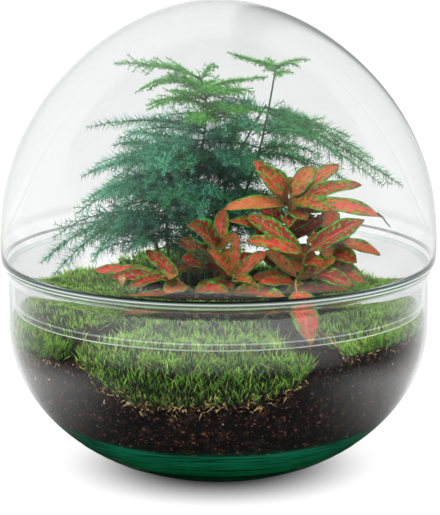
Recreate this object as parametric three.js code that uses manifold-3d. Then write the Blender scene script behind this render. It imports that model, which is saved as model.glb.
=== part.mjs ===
// Glass plant terrarium, in millimetres, +Z up.
// A heavy-bottomed glass bowl holds potting soil, cushions of moss, an asparagus fern and a red
// nerve plant. An egg-shaped glass dome closes it: its neck drops inside the bowl and its shoulder
// rests on the bowl's rim. The origin is the centre of the foot, and -Y is the front.
import * as THREE from "three";
import { mergeVertices } from "three/addons/utils/BufferGeometryUtils.js";
import Module from "manifold-3d";

const wasm = await Module();
wasm.setup();

// Driving dimensions
const TOTAL_HEIGHT = 300;
const DOME_RADIUS = 140; // widest, outside
const DOME_WIDEST_Z = 147;
const DOME_EGG = 0.11; // how much narrower than an ellipse the dome's top is
const WALL = 3;
const RIM_Z = 129; // top of the bowl's rim, which carries the dome
const RIM_HEIGHT = 9;
const RIM_BULGE = 2.4; // how far the rim stands out from the bowl
const RIM_EDGE = 1.6; // the rim's cut top edges
const BOWL_RADIUS = 135;
const BOWL_STRAIGHT_Z = 92; // the bowl's side is upright above this height
const BOWL_OUTER_DEPTH = 101.5; // half height of the ellipse that the bowl's outside follows
const BOWL_INNER_DEPTH = 91.7;
const BOWL_FLOOR_Z = 18;
const FOOT_RADIUS = 57;
const FOOT_RING_INNER = 50;
const PUNT_RADIUS = 42;
const PUNT_HEIGHT = 1.8; // the shallow hollow under the foot
const NECK_RADIUS = 129.4; // outside
const NECK_WALL = 3.2;
const NECK_END_Z = 100.2;
const SHOULDER = [[2.2, 3.4], [0.7, 9]]; // [in from the dome's radius, up from its seat]
const SHOULDER_INSIDE = [[4.4, 9], [8.8, 3.6]];
const NECK_TOP = -2; // the neck's inside is upright below this height from the seat
const GAP = 0.3; // between pieces that rest on each other
const GLASS_SIDES = 36;
const SOIL_TOP_Z = 110;
const SOIL_CLEAR = 0.4; // between the soil's facets and the glass
const HOLE_DEPTH = 9;
const HOLE_RADIUS = 2.4;
const CANE = { sides: 4, foot: 1.1, tip: 0.6, upright: 10 };
const NERVE = { sides: 5, foot: 1.5, tip: 1, upright: 5 };

const UP = new THREE.Vector3(0, 0, 1);
const radians = THREE.MathUtils.degToRad;
const lerp = THREE.MathUtils.lerp;
const smoothstep = THREE.MathUtils.smoothstep;
const point = (p) => new THREE.Vector3(...p);
const polar = (r, degrees, z) =>
  new THREE.Vector3(r * Math.cos(radians(degrees)), r * Math.sin(radians(degrees)), z);

const COLOURS = {
  glass: { color: 0xdfeee8, roughness: 0.03, metalness: 0, transparent: true, opacity: 0.3 },
  soil: { color: 0x2e211a, roughness: 0.95, metalness: 0 },
  moss: { color: 0x6f9a34, roughness: 0.9, metalness: 0 },
  fern: { color: 0x2c7345, roughness: 0.7, metalness: 0 },
  nerve_plant: { color: 0xd8504a, roughness: 0.55, metalness: 0 },
};

// A closed surface through rings of points, each counter-clockwise about the way the rings run.
// A first or last ring of one point makes a pointed end. The quads in `turned` are split along
// their other diagonal.
function skin(rings, turned = []) {
  const n = Math.max(...rings.map((ring) => ring.length));
  const start = rings.map((_, i) => rings.slice(0, i).reduce((sum, ring) => sum + ring.length, 0));
  const position = rings.flat().flatMap((p) => [p.x, p.y, p.z]);
  const last = rings.length - 1;
  const index = [];
  for (let i = 0; i < last; i++)
    for (let j = 0; j < n; j++) {
      const k = (j + 1) % n;
      const [a, b] = [start[i] + j, start[i] + k];
      const [c, d] = [start[i + 1] + j, start[i + 1] + k];
      if (rings[i].length === 1) index.push(start[i], d, c);
      else if (rings[i + 1].length === 1) index.push(a, b, start[i + 1]);
      else if (turned.includes(j)) index.push(a, b, c, b, d, c);
      else index.push(a, b, d, a, d, c);
    }
  for (let k = 1; k < n - 1; k++) {
    if (rings[0].length > 1) index.push(0, k + 1, k);
    if (rings[last].length > 1) index.push(start[last], start[last] + k, start[last] + k + 1);
  }
  return geometryOf(position, index);
}

// A closed slab between two grids of points, given as rows of the same shape.
function slab(top, bottom) {
  const rows = top.length;
  const columns = top[0].length;
  const position = [...top.flat(), ...bottom.flat()].flatMap((p) => [p.x, p.y, p.z]);
  const index = [];
  const upper = (i, j) => i * columns + j;
  const lower = (i, j) => rows * columns + upper(i, j);
  const side = (i, j, k, l) =>
    index.push(upper(i, j), lower(i, j), lower(k, l), upper(i, j), lower(k, l), upper(k, l));
  for (let i = 0; i < rows - 1; i++)
    for (let j = 0; j < columns - 1; j++) {
      const corners = [[i, j], [i + 1, j], [i + 1, j + 1], [i, j + 1]];
      const [a, b, c, d] = corners.map((c) => upper(...c));
      const [e, f, g, h] = corners.map((c) => lower(...c));
      index.push(a, b, c, a, c, d, e, g, f, e, h, g);
    }
  for (let i = 0; i < rows - 1; i++) {
    side(i, 0, i + 1, 0);
    side(i + 1, columns - 1, i, columns - 1);
  }
  for (let j = 0; j < columns - 1; j++) {
    side(0, j + 1, 0, j);
    side(rows - 1, j, rows - 1, j + 1);
  }
  return geometryOf(position, index);
}

function geometryOf(position, index) {
  const geometry = new THREE.BufferGeometry();
  geometry.setAttribute("position", new THREE.Float32BufferAttribute(position, 3));
  geometry.setIndex(index);
  return geometry;
}

function solidOf(geometry) {
  const bare = geometry.clone();
  bare.deleteAttribute("normal");
  bare.deleteAttribute("uv");
  const merged = mergeVertices(bare, 1e-4);
  return new wasm.Manifold(
    new wasm.Mesh({
      numProp: 3,
      vertProperties: new Float32Array(merged.attributes.position.array),
      triVerts: new Uint32Array(merged.index.array),
    }),
  );
}

function geometryFrom(solid) {
  const mesh = solid.getMesh();
  return geometryOf(Array.from(mesh.vertProperties), Array.from(mesh.triVerts));
}

// The solid without its loose scraps and the small hollows that a union seals.
function wholeBody(solid) {
  return solid.decompose().reduce((most, body) => (body.volume() > most.volume() ? body : most));
}

const terrarium = new THREE.Group();

function add(name, colour, geometry) {
  const mesh = new THREE.Mesh(geometry, new THREE.MeshStandardMaterial(COLOURS[colour]));
  mesh.name = name;
  mesh.geometry.computeVertexNormals();
  terrarium.add(mesh);
  return mesh;
}

// A glass wall turned from its outline, given as [radius, height] pairs.
function turned(outline) {
  const profile = outline.map(([r, z]) => new THREE.Vector2(r, z));
  return new THREE.LatheGeometry(profile, GLASS_SIDES).rotateX(Math.PI / 2);
}

const ellipse = (radius, depth, z) =>
  radius * Math.sqrt(Math.max(0, 1 - ((BOWL_STRAIGHT_Z - z) / depth) ** 2));
const bowlOutside = (z) => ellipse(BOWL_RADIUS, BOWL_OUTER_DEPTH, Math.min(z, BOWL_STRAIGHT_Z));

// The bowl's inside is an ellipse drawn as straight steps between these heights.
const INSIDE_LEVELS = [BOWL_FLOOR_Z, 26, 38, 54, 72, BOWL_STRAIGHT_Z];
const insideAt = (z) => ellipse(BOWL_RADIUS - WALL, BOWL_INNER_DEPTH, z);

function cavityRadius(z) {
  for (let k = 1; k < INSIDE_LEVELS.length; k++) {
    const low = INSIDE_LEVELS[k - 1];
    const high = INSIDE_LEVELS[k];
    if (z <= high) return lerp(insideAt(low), insideAt(high), (z - low) / (high - low));
  }
  return BOWL_RADIUS - WALL;
}

function bowl() {
  const outside = [6, 19, 35, 53, 72, BOWL_STRAIGHT_Z].map((z) => [bowlOutside(z), z]);
  const inside = [...INSIDE_LEVELS].reverse().map((z) => [insideAt(z), z]);
  const rimRadius = BOWL_RADIUS + RIM_BULGE;
  const rim = [
    [BOWL_RADIUS, RIM_Z - RIM_HEIGHT],
    [rimRadius, RIM_Z - RIM_HEIGHT / 2],
    [rimRadius, RIM_Z - RIM_EDGE],
    [rimRadius - RIM_EDGE, RIM_Z],
    [BOWL_RADIUS - WALL + RIM_EDGE / 2, RIM_Z],
    [BOWL_RADIUS - WALL, RIM_Z - RIM_EDGE],
  ];
  const foot = [[0, PUNT_HEIGHT], [PUNT_RADIUS, PUNT_HEIGHT], [FOOT_RING_INNER, 0]];
  return turned([...foot, [FOOT_RADIUS, 0], ...outside, ...rim, ...inside, [0, BOWL_FLOOR_Z]]);
}

// The dome's radius at a height above its widest line, for a wall of this radius and top.
function domeRadius(radius, top, z) {
  const t = (z - DOME_WIDEST_Z) / (top - DOME_WIDEST_Z);
  return radius * Math.sqrt(Math.max(0, 1 - t * t)) * (1 - DOME_EGG * t ** 3);
}

function domeWall(radius, top, steps) {
  const wall = [];
  for (let k = 0; k < steps; k++) {
    const z = lerp(DOME_WIDEST_Z, top, Math.sin((k / steps) * (Math.PI / 2)));
    wall.push([domeRadius(radius, top, z), z]);
  }
  return [...wall, [0, top]];
}

function dome() {
  const seat = RIM_Z + GAP;
  const neckInside = NECK_RADIUS - NECK_WALL;
  const fromSeat = ([inset, up]) => [DOME_RADIUS - inset, seat + up];
  const inner = domeWall(DOME_RADIUS - WALL, TOTAL_HEIGHT - WALL, 6).reverse();
  const neck = [
    [neckInside, seat + NECK_TOP],
    [neckInside, NECK_END_Z],
    [NECK_RADIUS, NECK_END_Z],
    [NECK_RADIUS, seat],
    [BOWL_RADIUS + RIM_BULGE - RIM_EDGE, seat],
  ];
  const outer = domeWall(DOME_RADIUS, TOTAL_HEIGHT, 7);
  return turned([
    ...inner,
    ...SHOULDER_INSIDE.map(fromSeat),
    ...neck,
    ...SHOULDER.map(fromSeat),
    ...outer,
  ]);
}

// The soil's height: a planted mound in the middle, falling to the glass, lowest at the front
// where the moss cushion fills a dip in it.
const SOIL_EDGE_Z = 94; // at the glass, away from the dips
const FRONT_DIP = { centre: -96, halfWidth: 33, depth: 27, flatness: 3.2 };
const LEFT_DIP = { centre: 190, depth: 13 };
const SOIL_RIPPLE = 0.9;
const MOUND = { from: 62, to: 128 }; // the mound falls between these radii
const angleFrom = (degrees, centre) => ((((degrees - centre) % 360) + 540) % 360) - 180;

function soilAtGlass(degrees) {
  const fromDip = Math.abs(angleFrom(degrees, FRONT_DIP.centre)) / FRONT_DIP.halfWidth;
  const front = fromDip < 1 ? 1 - fromDip ** FRONT_DIP.flatness : 0;
  const left = Math.max(0, Math.cos(radians(angleFrom(degrees, LEFT_DIP.centre)))) ** 3;
  const ripple = SOIL_RIPPLE * Math.sin(radians(degrees * 7));
  return SOIL_EDGE_Z - FRONT_DIP.depth * front - LEFT_DIP.depth * left + ripple;
}

function soilHeight(r, degrees) {
  const mound = SOIL_TOP_Z + SOIL_RIPPLE * Math.sin(r / 6 + radians(degrees * 3));
  return lerp(mound, soilAtGlass(degrees), smoothstep(r, MOUND.from, MOUND.to));
}

const SOIL_ROWS = [0.9, 0.74, 0.54, 0.28];
const SOIL_LIFTS = [0, 0.13, 0.33, 0.62, 1];

// The soil as rings from the floor up the glass and in over the top, grown by a margin.
function soilSurface(lift, grow) {
  const around = Array.from({ length: GLASS_SIDES }, (_, i) => (i * 360) / GLASS_SIDES);
  const side = SOIL_LIFTS.map((share) =>
    around.map((a) => {
      const z = lerp(BOWL_FLOOR_Z + GAP - grow, soilAtGlass(a) + lift, share);
      return polar(cavityRadius(z) - SOIL_CLEAR + grow, a, z);
    }),
  );
  const top = SOIL_ROWS.map((share) =>
    around.map((a) => {
      const r = share * (cavityRadius(soilAtGlass(a)) - SOIL_CLEAR);
      return polar(r, a, soilHeight(r, a) + lift);
    }),
  );
  return skin([...side, ...top, [point([0, 0, SOIL_TOP_Z + lift])]]);
}

// Moss cushions lie on the soil round its edge, and stay under the dome's neck at the glass.
const CUSHIONS = [
  { name: "moss_front", from: -130, to: -66, inner: 76, top: 105, hump: 0 },
  { name: "moss_right", from: -54, to: 14, inner: 88, top: 106, hump: 0 },
  { name: "moss_back_right", from: 17, to: 74, inner: 74, top: 109, hump: 3 },
  { name: "moss_back", from: 77, to: 131, inner: 64, top: 113, hump: 7 },
  { name: "moss_left", from: 134, to: 223, inner: 60, top: 112, hump: 3 },
];
const MOSS_EDGE_Z = 98; // top of the moss at the glass, below the dome's neck
const MOSS_BOTTOM_Z = 57; // where a cushion starts before the soil is cut out of it
const TUFT = 1.6; // how far the tufts stand above and below the moss's surface
const MOSS_SPAN = 7; // degrees
const MOSS_ROWS = [0, 0.08, 0.3, 0.52, 0.75, 1];
const MOSS_FALL = { from: 112, to: 126 }; // the moss falls to the glass between these radii
const MOSS_END = { share: 0.12, drop: 5 }; // a cushion's ends are lower than its middle
const MOSS_INNER_SLOPE = 16; // how far out a cushion reaches its full height
const MOSS_WANDER = 3; // how far the inner edge wanders
const FACET = 360 / GLASS_SIDES;

// How far in the glass's facets lie at an angle, as a share of its radius.
function facetShare(degrees) {
  const fromMiddle = (((degrees % FACET) + FACET) % FACET) - FACET / 2;
  return Math.cos(radians(FACET / 2)) / Math.cos(radians(fromMiddle));
}

function mossHeight(cushion, r, share) {
  const middle = Math.sin(Math.PI * share);
  const drop = MOSS_END.drop * (1 - smoothstep(Math.min(share, 1 - share), 0, MOSS_END.share));
  const full = cushion.top + cushion.hump * middle - drop;
  const fall = smoothstep(r, MOSS_FALL.from, MOSS_FALL.to);
  const rise = smoothstep(r, cushion.inner, cushion.inner + MOSS_INNER_SLOPE);
  const inner = lerp(SOIL_TOP_Z + 1, full, lerp(0.2, 1, rise));
  return lerp(inner, MOSS_EDGE_Z - drop, fall);
}

function mossCushion(cushion, cavity, soilBelow) {
  const spans = Math.round((cushion.to - cushion.from) / MOSS_SPAN);
  const top = [];
  const bottom = [];
  for (let i = 0; i <= spans; i++) {
    const share = i / spans;
    const degrees = lerp(cushion.from, cushion.to, share);
    const edge = (BOWL_RADIUS - WALL) * facetShare(degrees) - GAP;
    const column = MOSS_ROWS.map((row, j) => {
      const r = lerp(edge, cushion.inner + MOSS_WANDER * Math.sin(i * 1.3), row);
      const inside = j > 1 && j < MOSS_ROWS.length - 1 && i > 0 && i < spans;
      const z = mossHeight(cushion, r, share) + (inside ? TUFT * (-1) ** (i + j) : 0);
      return polar(r, degrees, z);
    });
    top.push(column);
    bottom.push(column.map((p) => new THREE.Vector3(p.x, p.y, MOSS_BOTTOM_Z)));
  }
  return wholeBody(solidOf(slab(top, bottom)).intersect(cavity).subtract(soilBelow));
}

// A stem is a tapered tube in straight stretches between points of its curve.
const STEM_STEPS = 8;

function stem(curve, size) {
  const frames = curve.computeFrenetFrames(STEM_STEPS, false);
  const rings = [];
  for (let i = 0; i <= STEM_STEPS; i++) {
    const radius = lerp(size.foot, size.tip, i / STEM_STEPS);
    const ring = [];
    for (let k = 0; k < size.sides; k++) {
      const a = (k / size.sides) * 2 * Math.PI;
      ring.push(
        curve
          .getPointAt(i / STEM_STEPS)
          .addScaledVector(frames.normals[i], radius * Math.cos(a))
          .addScaledVector(frames.binormals[i], radius * Math.sin(a)),
      );
    }
    rings.push(ring);
  }
  return solidOf(skin(rings));
}

function pointOnStem(curve, share) {
  const stretch = Math.min(Math.floor(share * STEM_STEPS), STEM_STEPS - 1);
  const from = curve.getPointAt(stretch / STEM_STEPS);
  const to = curve.getPointAt((stretch + 1) / STEM_STEPS);
  return from.lerp(to, share * STEM_STEPS - stretch);
}

// A twig of the fern: a slim core with needles raised from it, two at each step, turn about
// sideways and up and down. It starts as a point inside what it grows from.
const NEEDLE_STEP = 4.4;
const NEEDLE_LEAN = 1.15; // how far forward a needle reaches for each step outwards
const NEEDLE_OVER = 0.7; // the needles above and below are shorter

function needledTwig(curve, needle, core) {
  const steps = Math.max(2, Math.round(curve.getLength() / NEEDLE_STEP));
  const rings = [[curve.getPointAt(0)]];
  for (let i = 1; i < steps; i++) {
    const s = i / steps;
    const along = curve.getTangentAt(s);
    const across = new THREE.Vector3().crossVectors(UP, along).normalize();
    const over = new THREE.Vector3().crossVectors(along, across);
    const reach = needle * Math.min(1, 0.4 + 2 * (1 - s));
    const ring = [across, over, across.clone().negate(), over.clone().negate()].map((out, k) => {
      const raised = (i + k) % 2 ? 0 : reach * (k % 2 ? NEEDLE_OVER : 1);
      return curve
        .getPointAt(s)
        .addScaledVector(out, core * (1 - 0.4 * s) + raised)
        .addScaledVector(along, raised * NEEDLE_LEAN);
    });
    rings.push(ring);
  }
  rings.push([curve.getPointAt(1)]);
  return solidOf(skin(rings));
}

function arched(from, to, arch) {
  const middle = from.clone().lerp(to, 0.5).addScaledVector(UP, 2 * arch);
  return new THREE.QuadraticBezierCurve3(from, middle, to);
}

// A spray: its axis and the twigs that leave it left and right, longest near its root.
const TWIG_EVERY = 21;
const TWIGS_FROM = 0.16; // share along the axis of the first side twig, and of the last
const TWIGS_TO = 0.76;
const TWIG = { side: 0.8, along: 0.65, droop: 0.12, arch: 0.06, needle: 0.85, taper: 0.75 };
const AXIS_CORE = 0.65; // radii of the bare wood
const TWIG_CORE = 0.55;

function spray(root, tip, arch, spread, needle) {
  const axis = arched(root, tip, arch);
  const twigs = [needledTwig(axis, needle, AXIS_CORE)];
  const count = Math.max(2, Math.round(axis.getLength() / TWIG_EVERY));
  for (let k = 0; k < count; k++) {
    const s = lerp(TWIGS_FROM, TWIGS_TO, k / (count - 1));
    const along = axis.getTangentAt(s);
    const side = new THREE.Vector3().crossVectors(UP, along).normalize();
    const from = axis.getPointAt(s);
    const reach = spread * (1 - TWIG.taper * s);
    const to = from
      .clone()
      .addScaledVector(side, (k % 2 ? -1 : 1) * reach * TWIG.side)
      .addScaledVector(along, reach * TWIG.along)
      .addScaledVector(UP, -reach * TWIG.droop);
    twigs.push(needledTwig(arched(from, to, reach * TWIG.arch), needle * TWIG.needle, TWIG_CORE));
  }
  return twigs;
}

// The fern's canes. Each has its foot on the soil, the points it rises through and its sprays:
// [share along the cane, tip, arch, spread, needle length].
const NEW_NEEDLE = 2.2;
const OLD_NEEDLE = 4.6;
const CANES = [
  {
    name: "fern_cane_1",
    foot: [-24, 30],
    through: [[-16, 28, 160], [-10, 20, 205], [-8, 16, 232], [-12, 12, 250]],
    sprays: [
      [0.99, [-66, 4, 259], 3, 18, NEW_NEEDLE],
      [0.98, [-3, 30, 255], 2, 8, NEW_NEEDLE],
      [0.95, [-52, -8, 242], 7, 14, NEW_NEEDLE],
      [0.94, [31, -2, 251], 1, 14, NEW_NEEDLE],
      [0.88, [-30, -20, 245], 2, 10, NEW_NEEDLE],
      [0.91, [4, -30, 243], 3, 14, NEW_NEEDLE],
      [0.9, [-14, 58, 238], 5, 16, NEW_NEEDLE],
      [0.76, [-83, -4, 219], 5, 18, OLD_NEEDLE],
      [0.68, [-58, -22, 219], 2, 14, OLD_NEEDLE],
    ],
  },
  {
    name: "fern_cane_2",
    foot: [-8, 26],
    through: [[8, 22, 150], [24, 17, 192], [31, 14, 222], [37, 12, 257]],
    sprays: [
      [0.995, [6, 2, 266], -1, 9, NEW_NEEDLE],
      [0.99, [58, 6, 261], 2, 9, NEW_NEEDLE],
      [0.965, [47, -6, 254], 1, 6, NEW_NEEDLE],
      [0.975, [26, 36, 256], 1, 8, NEW_NEEDLE],
      [0.74, [64, -14, 212], 2, 14, OLD_NEEDLE],
      [0.66, [66, -6, 200], 5, 16, OLD_NEEDLE],
    ],
  },
  {
    name: "fern_cane_3",
    foot: [-13, 41],
    through: [[0, 40, 160], [18, 33, 205], [31, 27, 229]],
    sprays: [
      [0.99, [118, 4, 180], 2, 20, OLD_NEEDLE],
      [0.96, [0, 10, 236], 3, 12, OLD_NEEDLE],
      [0.86, [62, 60, 200], 7, 18, OLD_NEEDLE],
      [0.7, [84, 34, 178], 8, 20, OLD_NEEDLE],
    ],
  },
  {
    name: "fern_cane_4",
    foot: [-19, 19],
    through: [[-10, 20, 150], [7, 21, 200], [13, 20, 228]],
    sprays: [
      [0.98, [20, -6, 236], 2, 10, OLD_NEEDLE],
      [0.88, [16, -26, 224], 4, 14, OLD_NEEDLE],
      [0.72, [20, -30, 196], 6, 16, OLD_NEEDLE],
      [0.64, [6, 84, 184], 9, 22, OLD_NEEDLE],
    ],
  },
  {
    name: "fern_cane_5",
    foot: [-33, 35],
    through: [[-34, 28, 150], [-36, 16, 182], [-30, 8, 204]],
    sprays: [
      [0.98, [-87, -8, 188], 2, 16, OLD_NEEDLE],
      [0.82, [-92, 0, 162], 4, 20, OLD_NEEDLE],
      [0.92, [-62, 56, 198], 6, 18, OLD_NEEDLE],
      [0.62, [-66, 70, 160], 9, 20, OLD_NEEDLE],
      [0.9, [-34, -50, 197], 6, 18, OLD_NEEDLE],
      [0.72, [-64, -40, 172], 8, 18, OLD_NEEDLE],
    ],
  },
  {
    name: "fern_cane_6",
    foot: [-37, 22],
    through: [[-42, 14, 145], [-50, 4, 165]],
    sprays: [
      [0.98, [-114, -4, 131], 7, 18, OLD_NEEDLE],
      [0.92, [-80, -24, 136], 6, 12, OLD_NEEDLE],
      [0.78, [-52, -40, 145], 5, 12, OLD_NEEDLE],
      [0.6, [-84, 46, 138], 7, 16, OLD_NEEDLE],
    ],
  },
  {
    name: "fern_cane_7",
    foot: [-26, 11],
    through: [[-22, 4, 150], [-20, -6, 180]],
    sprays: [
      [0.98, [-34, -52, 176], 6, 16, OLD_NEEDLE],
      [0.92, [2, -42, 180], 6, 14, OLD_NEEDLE],
      [0.76, [-16, -40, 160], 5, 12, OLD_NEEDLE],
    ],
  },
  {
    name: "fern_cane_8",
    foot: [-16, 52],
    through: [[-10, 58, 150], [-4, 66, 188]],
    sprays: [
      [0.98, [-36, 102, 168], 8, 18, OLD_NEEDLE],
      [0.94, [40, 102, 166], 8, 18, OLD_NEEDLE],
    ],
  },
];

// A curve from the bottom of a stem's hole, upright at first for a stretch above the soil.
function rootedCurve([x, y], upright, through) {
  const degrees = THREE.MathUtils.radToDeg(Math.atan2(y, x));
  const ground = soilHeight(Math.hypot(x, y), degrees);
  const heights = [ground - HOLE_DEPTH + GAP, ground, ground + upright];
  const foot = heights.map((z) => new THREE.Vector3(x, y, z));
  return new THREE.CatmullRomCurve3([...foot, ...through.map(point)]);
}

// A twig that would cross another piece is left out, and a spray goes with its axis.
const touches = (solid, others) => others.some((other) => solid.intersect(other).volume() > 0);

function cane(plan, others) {
  const curve = rootedCurve(plan.foot, CANE.upright, plan.through);
  const solids = [stem(curve, CANE)];
  for (const [share, tip, arch, spread, needle] of plan.sprays) {
    const twigs = spray(pointOnStem(curve, share), point(tip), arch, spread, needle);
    const clear = twigs.filter((twig) => !touches(twig, others));
    if (clear[0] === twigs[0]) solids.push(...clear);
  }
  return wholeBody(wasm.Manifold.union(solids));
}

// A nerve plant leaf: a thin folded blade with waved edges on a short stalk.
const LEAF_STATIONS = [0.08, 0.27, 0.5, 0.72, 0.91];
const BLADE = 0.7;
const LEAF_FOLD = 0.22; // how high the edges stand above the midrib, as a share of the half width
const LEAF_WAVE = 0.05; // how far the edges wave, as a share of the width
const LEAF_FACING = new THREE.Vector3(0.05, -0.7, 0.71);

function leaf(root, tip, width, arch) {
  const chord = tip.clone().sub(root);
  const along = chord.clone().normalize();
  const over = LEAF_FACING.clone().addScaledVector(along, -LEAF_FACING.dot(along)).normalize();
  const across = new THREE.Vector3().crossVectors(over, along);
  const middle = root.clone().lerp(tip, 0.5).addScaledVector(over, 2 * arch * chord.length());
  const rib = new THREE.QuadraticBezierCurve3(root, middle, tip);
  const rings = LEAF_STATIONS.map((s) => {
    const centre = rib.getPoint(s);
    const normal = new THREE.Vector3().crossVectors(rib.getTangent(s), across).normalize();
    const half = (width / 2) * Math.sin(Math.PI * s ** 1.05) ** 0.75;
    const at = (out, up) => centre.clone().addScaledVector(across, out).addScaledVector(normal, up);
    const wave = LEAF_WAVE * width * Math.sin(s * 17);
    const edge = LEAF_FOLD * half;
    const thick = BLADE / 2;
    return [
      at(half, edge + wave - thick),
      at(half, edge + wave + thick),
      at(0, thick),
      at(-half, edge - wave + thick),
      at(-half, edge - wave - thick),
      at(0, -thick),
    ];
  });
  return solidOf(skin([[root], ...rings, [tip]], [4, 5]));
}

// The nerve plant's stems. Each leaf is [share along the stem, tip, width, arch].
const NERVE_STEMS = [
  {
    name: "nerve_plant_front",
    foot: [30, -38],
    through: [[43, -54, 122], [51, -62, 136], [54, -67, 152]],
    leaves: [
      [0.97, [90, -60, 170], 12, 0.06],
      [0.96, [17, -74, 160], 10, 0.08],
      [0.93, [17, -46, 170], 11.5, 0.1],
      [0.97, [60, -84, 166], 8, 0.05],
      [0.68, [73, -70, 148], 9, 0.08],
      [0.66, [24, -80, 134], 7.5, 0.06],
      [0.78, [83, -78, 131], 10.5, 0.12],
      [0.7, [29, -50, 149], 8, 0.08],
      [0.5, [57, -103, 102], 15.5, 0.12],
      [0.48, [82, -72, 126], 9, 0.08],
    ],
  },
  {
    name: "nerve_plant_top",
    foot: [34, -22],
    through: [[39, -24, 140], [44, -28, 165], [46, -30, 181]],
    leaves: [
      [0.98, [25, -38, 199], 10, 0.1],
      [0.88, [22, -14, 200], 10, 0.06],
      [0.96, [60, -22, 197], 11, 0.08],
      [0.9, [47, -50, 194], 9.5, 0.1],
      [0.95, [77, -8, 195], 10, 0.1],
      [0.92, [90, -28, 186], 9, 0.12],
      [0.82, [102, -42, 168], 10.5, 0.2],
      [0.93, [70, -52, 174], 10, 0.1],
      [0.9, [3, -46, 174], 9.5, 0.1],
      [0.78, [43, -54, 164], 9, 0.12],
      [0.62, [5, -54, 168], 8, 0.1],
      [0.7, [60, 16, 176], 10, 0.1],
      [0.55, [30, 14, 160], 10, 0.1],
    ],
  },
  {
    name: "nerve_plant_left_front",
    foot: [5, -40],
    through: [[8, -54, 120], [9, -62, 128], [9.5, -66, 137]],
    leaves: [
      [0.97, [11, -66, 163], 6, 0.03],
      [0.95, [-7, -74, 155], 8, 0.06],
      [0.95, [24, -82, 131], 5.5, 0.14],
      [0.93, [30, -56, 149], 8, 0.06],
      [0.66, [42, -88, 124], 11, 0.08],
    ],
  },
  {
    name: "nerve_plant_middle",
    foot: [-1, -20],
    through: [[-2, -26, 128], [0, -32, 146]],
    leaves: [
      [0.96, [-19, -52, 166], 16, 0.08],
      [0.97, [12, -42, 158], 7, 0.08],
      [0.95, [3, -12, 168], 9, 0.06],
      [0.6, [-13, -60, 153], 10, 0.06],
      [0.75, [-26, -22, 150], 10, 0.08],
    ],
  },
  {
    name: "nerve_plant_low_left",
    foot: [-14, -34],
    through: [[-22, -40, 124], [-34, -44, 131]],
    leaves: [
      [0.9, [-80, -30, 131], 8, 0.08],
      [0.97, [-56, -62, 127], 7, 0.08],
      [0.6, [-33, -72, 125], 12, 0.08],
      [0.97, [-68, -48, 130], 8, 0.08],
      [0.72, [-46, -18, 142], 10, 0.08],
      [0.5, [-60, -76, 118], 7, 0.05],
    ],
  },
  {
    name: "nerve_plant_right",
    foot: [46, -8],
    through: [[56, -12, 126], [66, -16, 140], [71, -18, 150]],
    leaves: [
      [0.98, [72, 4, 165], 11, 0.06],
      [0.96, [86, -30, 156], 13, 0.08],
      [0.8, [87, -36, 138], 13, 0.1],
      [0.62, [93, -40, 124], 13, 0.1],
      [0.93, [103, -14, 138], 8, 0.14],
      [0.7, [84, 18, 136], 10, 0.1],
    ],
  },
];

function nerveStem(plan) {
  const curve = rootedCurve(plan.foot, NERVE.upright, plan.through);
  const solids = [stem(curve, NERVE)];
  for (const [share, tip, width, arch] of plan.leaves) {
    solids.push(leaf(pointOnStem(curve, share), point(tip), width, arch));
  }
  return wholeBody(wasm.Manifold.union(solids));
}

function stemHole([x, y], radius) {
  const degrees = THREE.MathUtils.radToDeg(Math.atan2(y, x));
  const ground = soilHeight(Math.hypot(x, y), degrees);
  const hole = new THREE.CylinderGeometry(radius, radius, 2 * HOLE_DEPTH, 6);
  return solidOf(hole.rotateX(Math.PI / 2).translate(x, y, ground));
}

add("glass_bowl", "glass", bowl());
add("glass_dome", "glass", dome());

const holes = [...CANES, ...NERVE_STEMS].map((plan) => stemHole(plan.foot, HOLE_RADIUS));
const soil = solidOf(soilSurface(0, 0)).subtract(wasm.Manifold.union(holes));
add("soil", "soil", geometryFrom(soil));

const cavity = solidOf(soilSurface(TOTAL_HEIGHT / 4, 0));
const soilBelow = solidOf(soilSurface(GAP, 1));
const moss = CUSHIONS.map((cushion) => mossCushion(cushion, cavity, soilBelow));
CUSHIONS.forEach((cushion, i) => add(cushion.name, "moss", geometryFrom(moss[i])));

const nerveStems = NERVE_STEMS.map(nerveStem);
NERVE_STEMS.forEach((plan, i) => add(plan.name, "nerve_plant", geometryFrom(nerveStems[i])));

const inTheWay = [soil, solidOf(dome()), ...moss, ...nerveStems];
for (const plan of CANES) {
  const grown = cane(plan, inTheWay);
  inTheWay.push(grown);
  add(plan.name, "fern", geometryFrom(grown));
}

export default terrarium;
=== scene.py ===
# %% [markdown]
# # A closed glass garden
# A glass egg in two pieces holds potting soil, cushions of moss, an asparagus fern and a red nerve
# plant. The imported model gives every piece's place. This script keeps those places, and gives the
# glass its smooth walls and the plants their real needles, leaves and tufts.

import math

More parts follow.
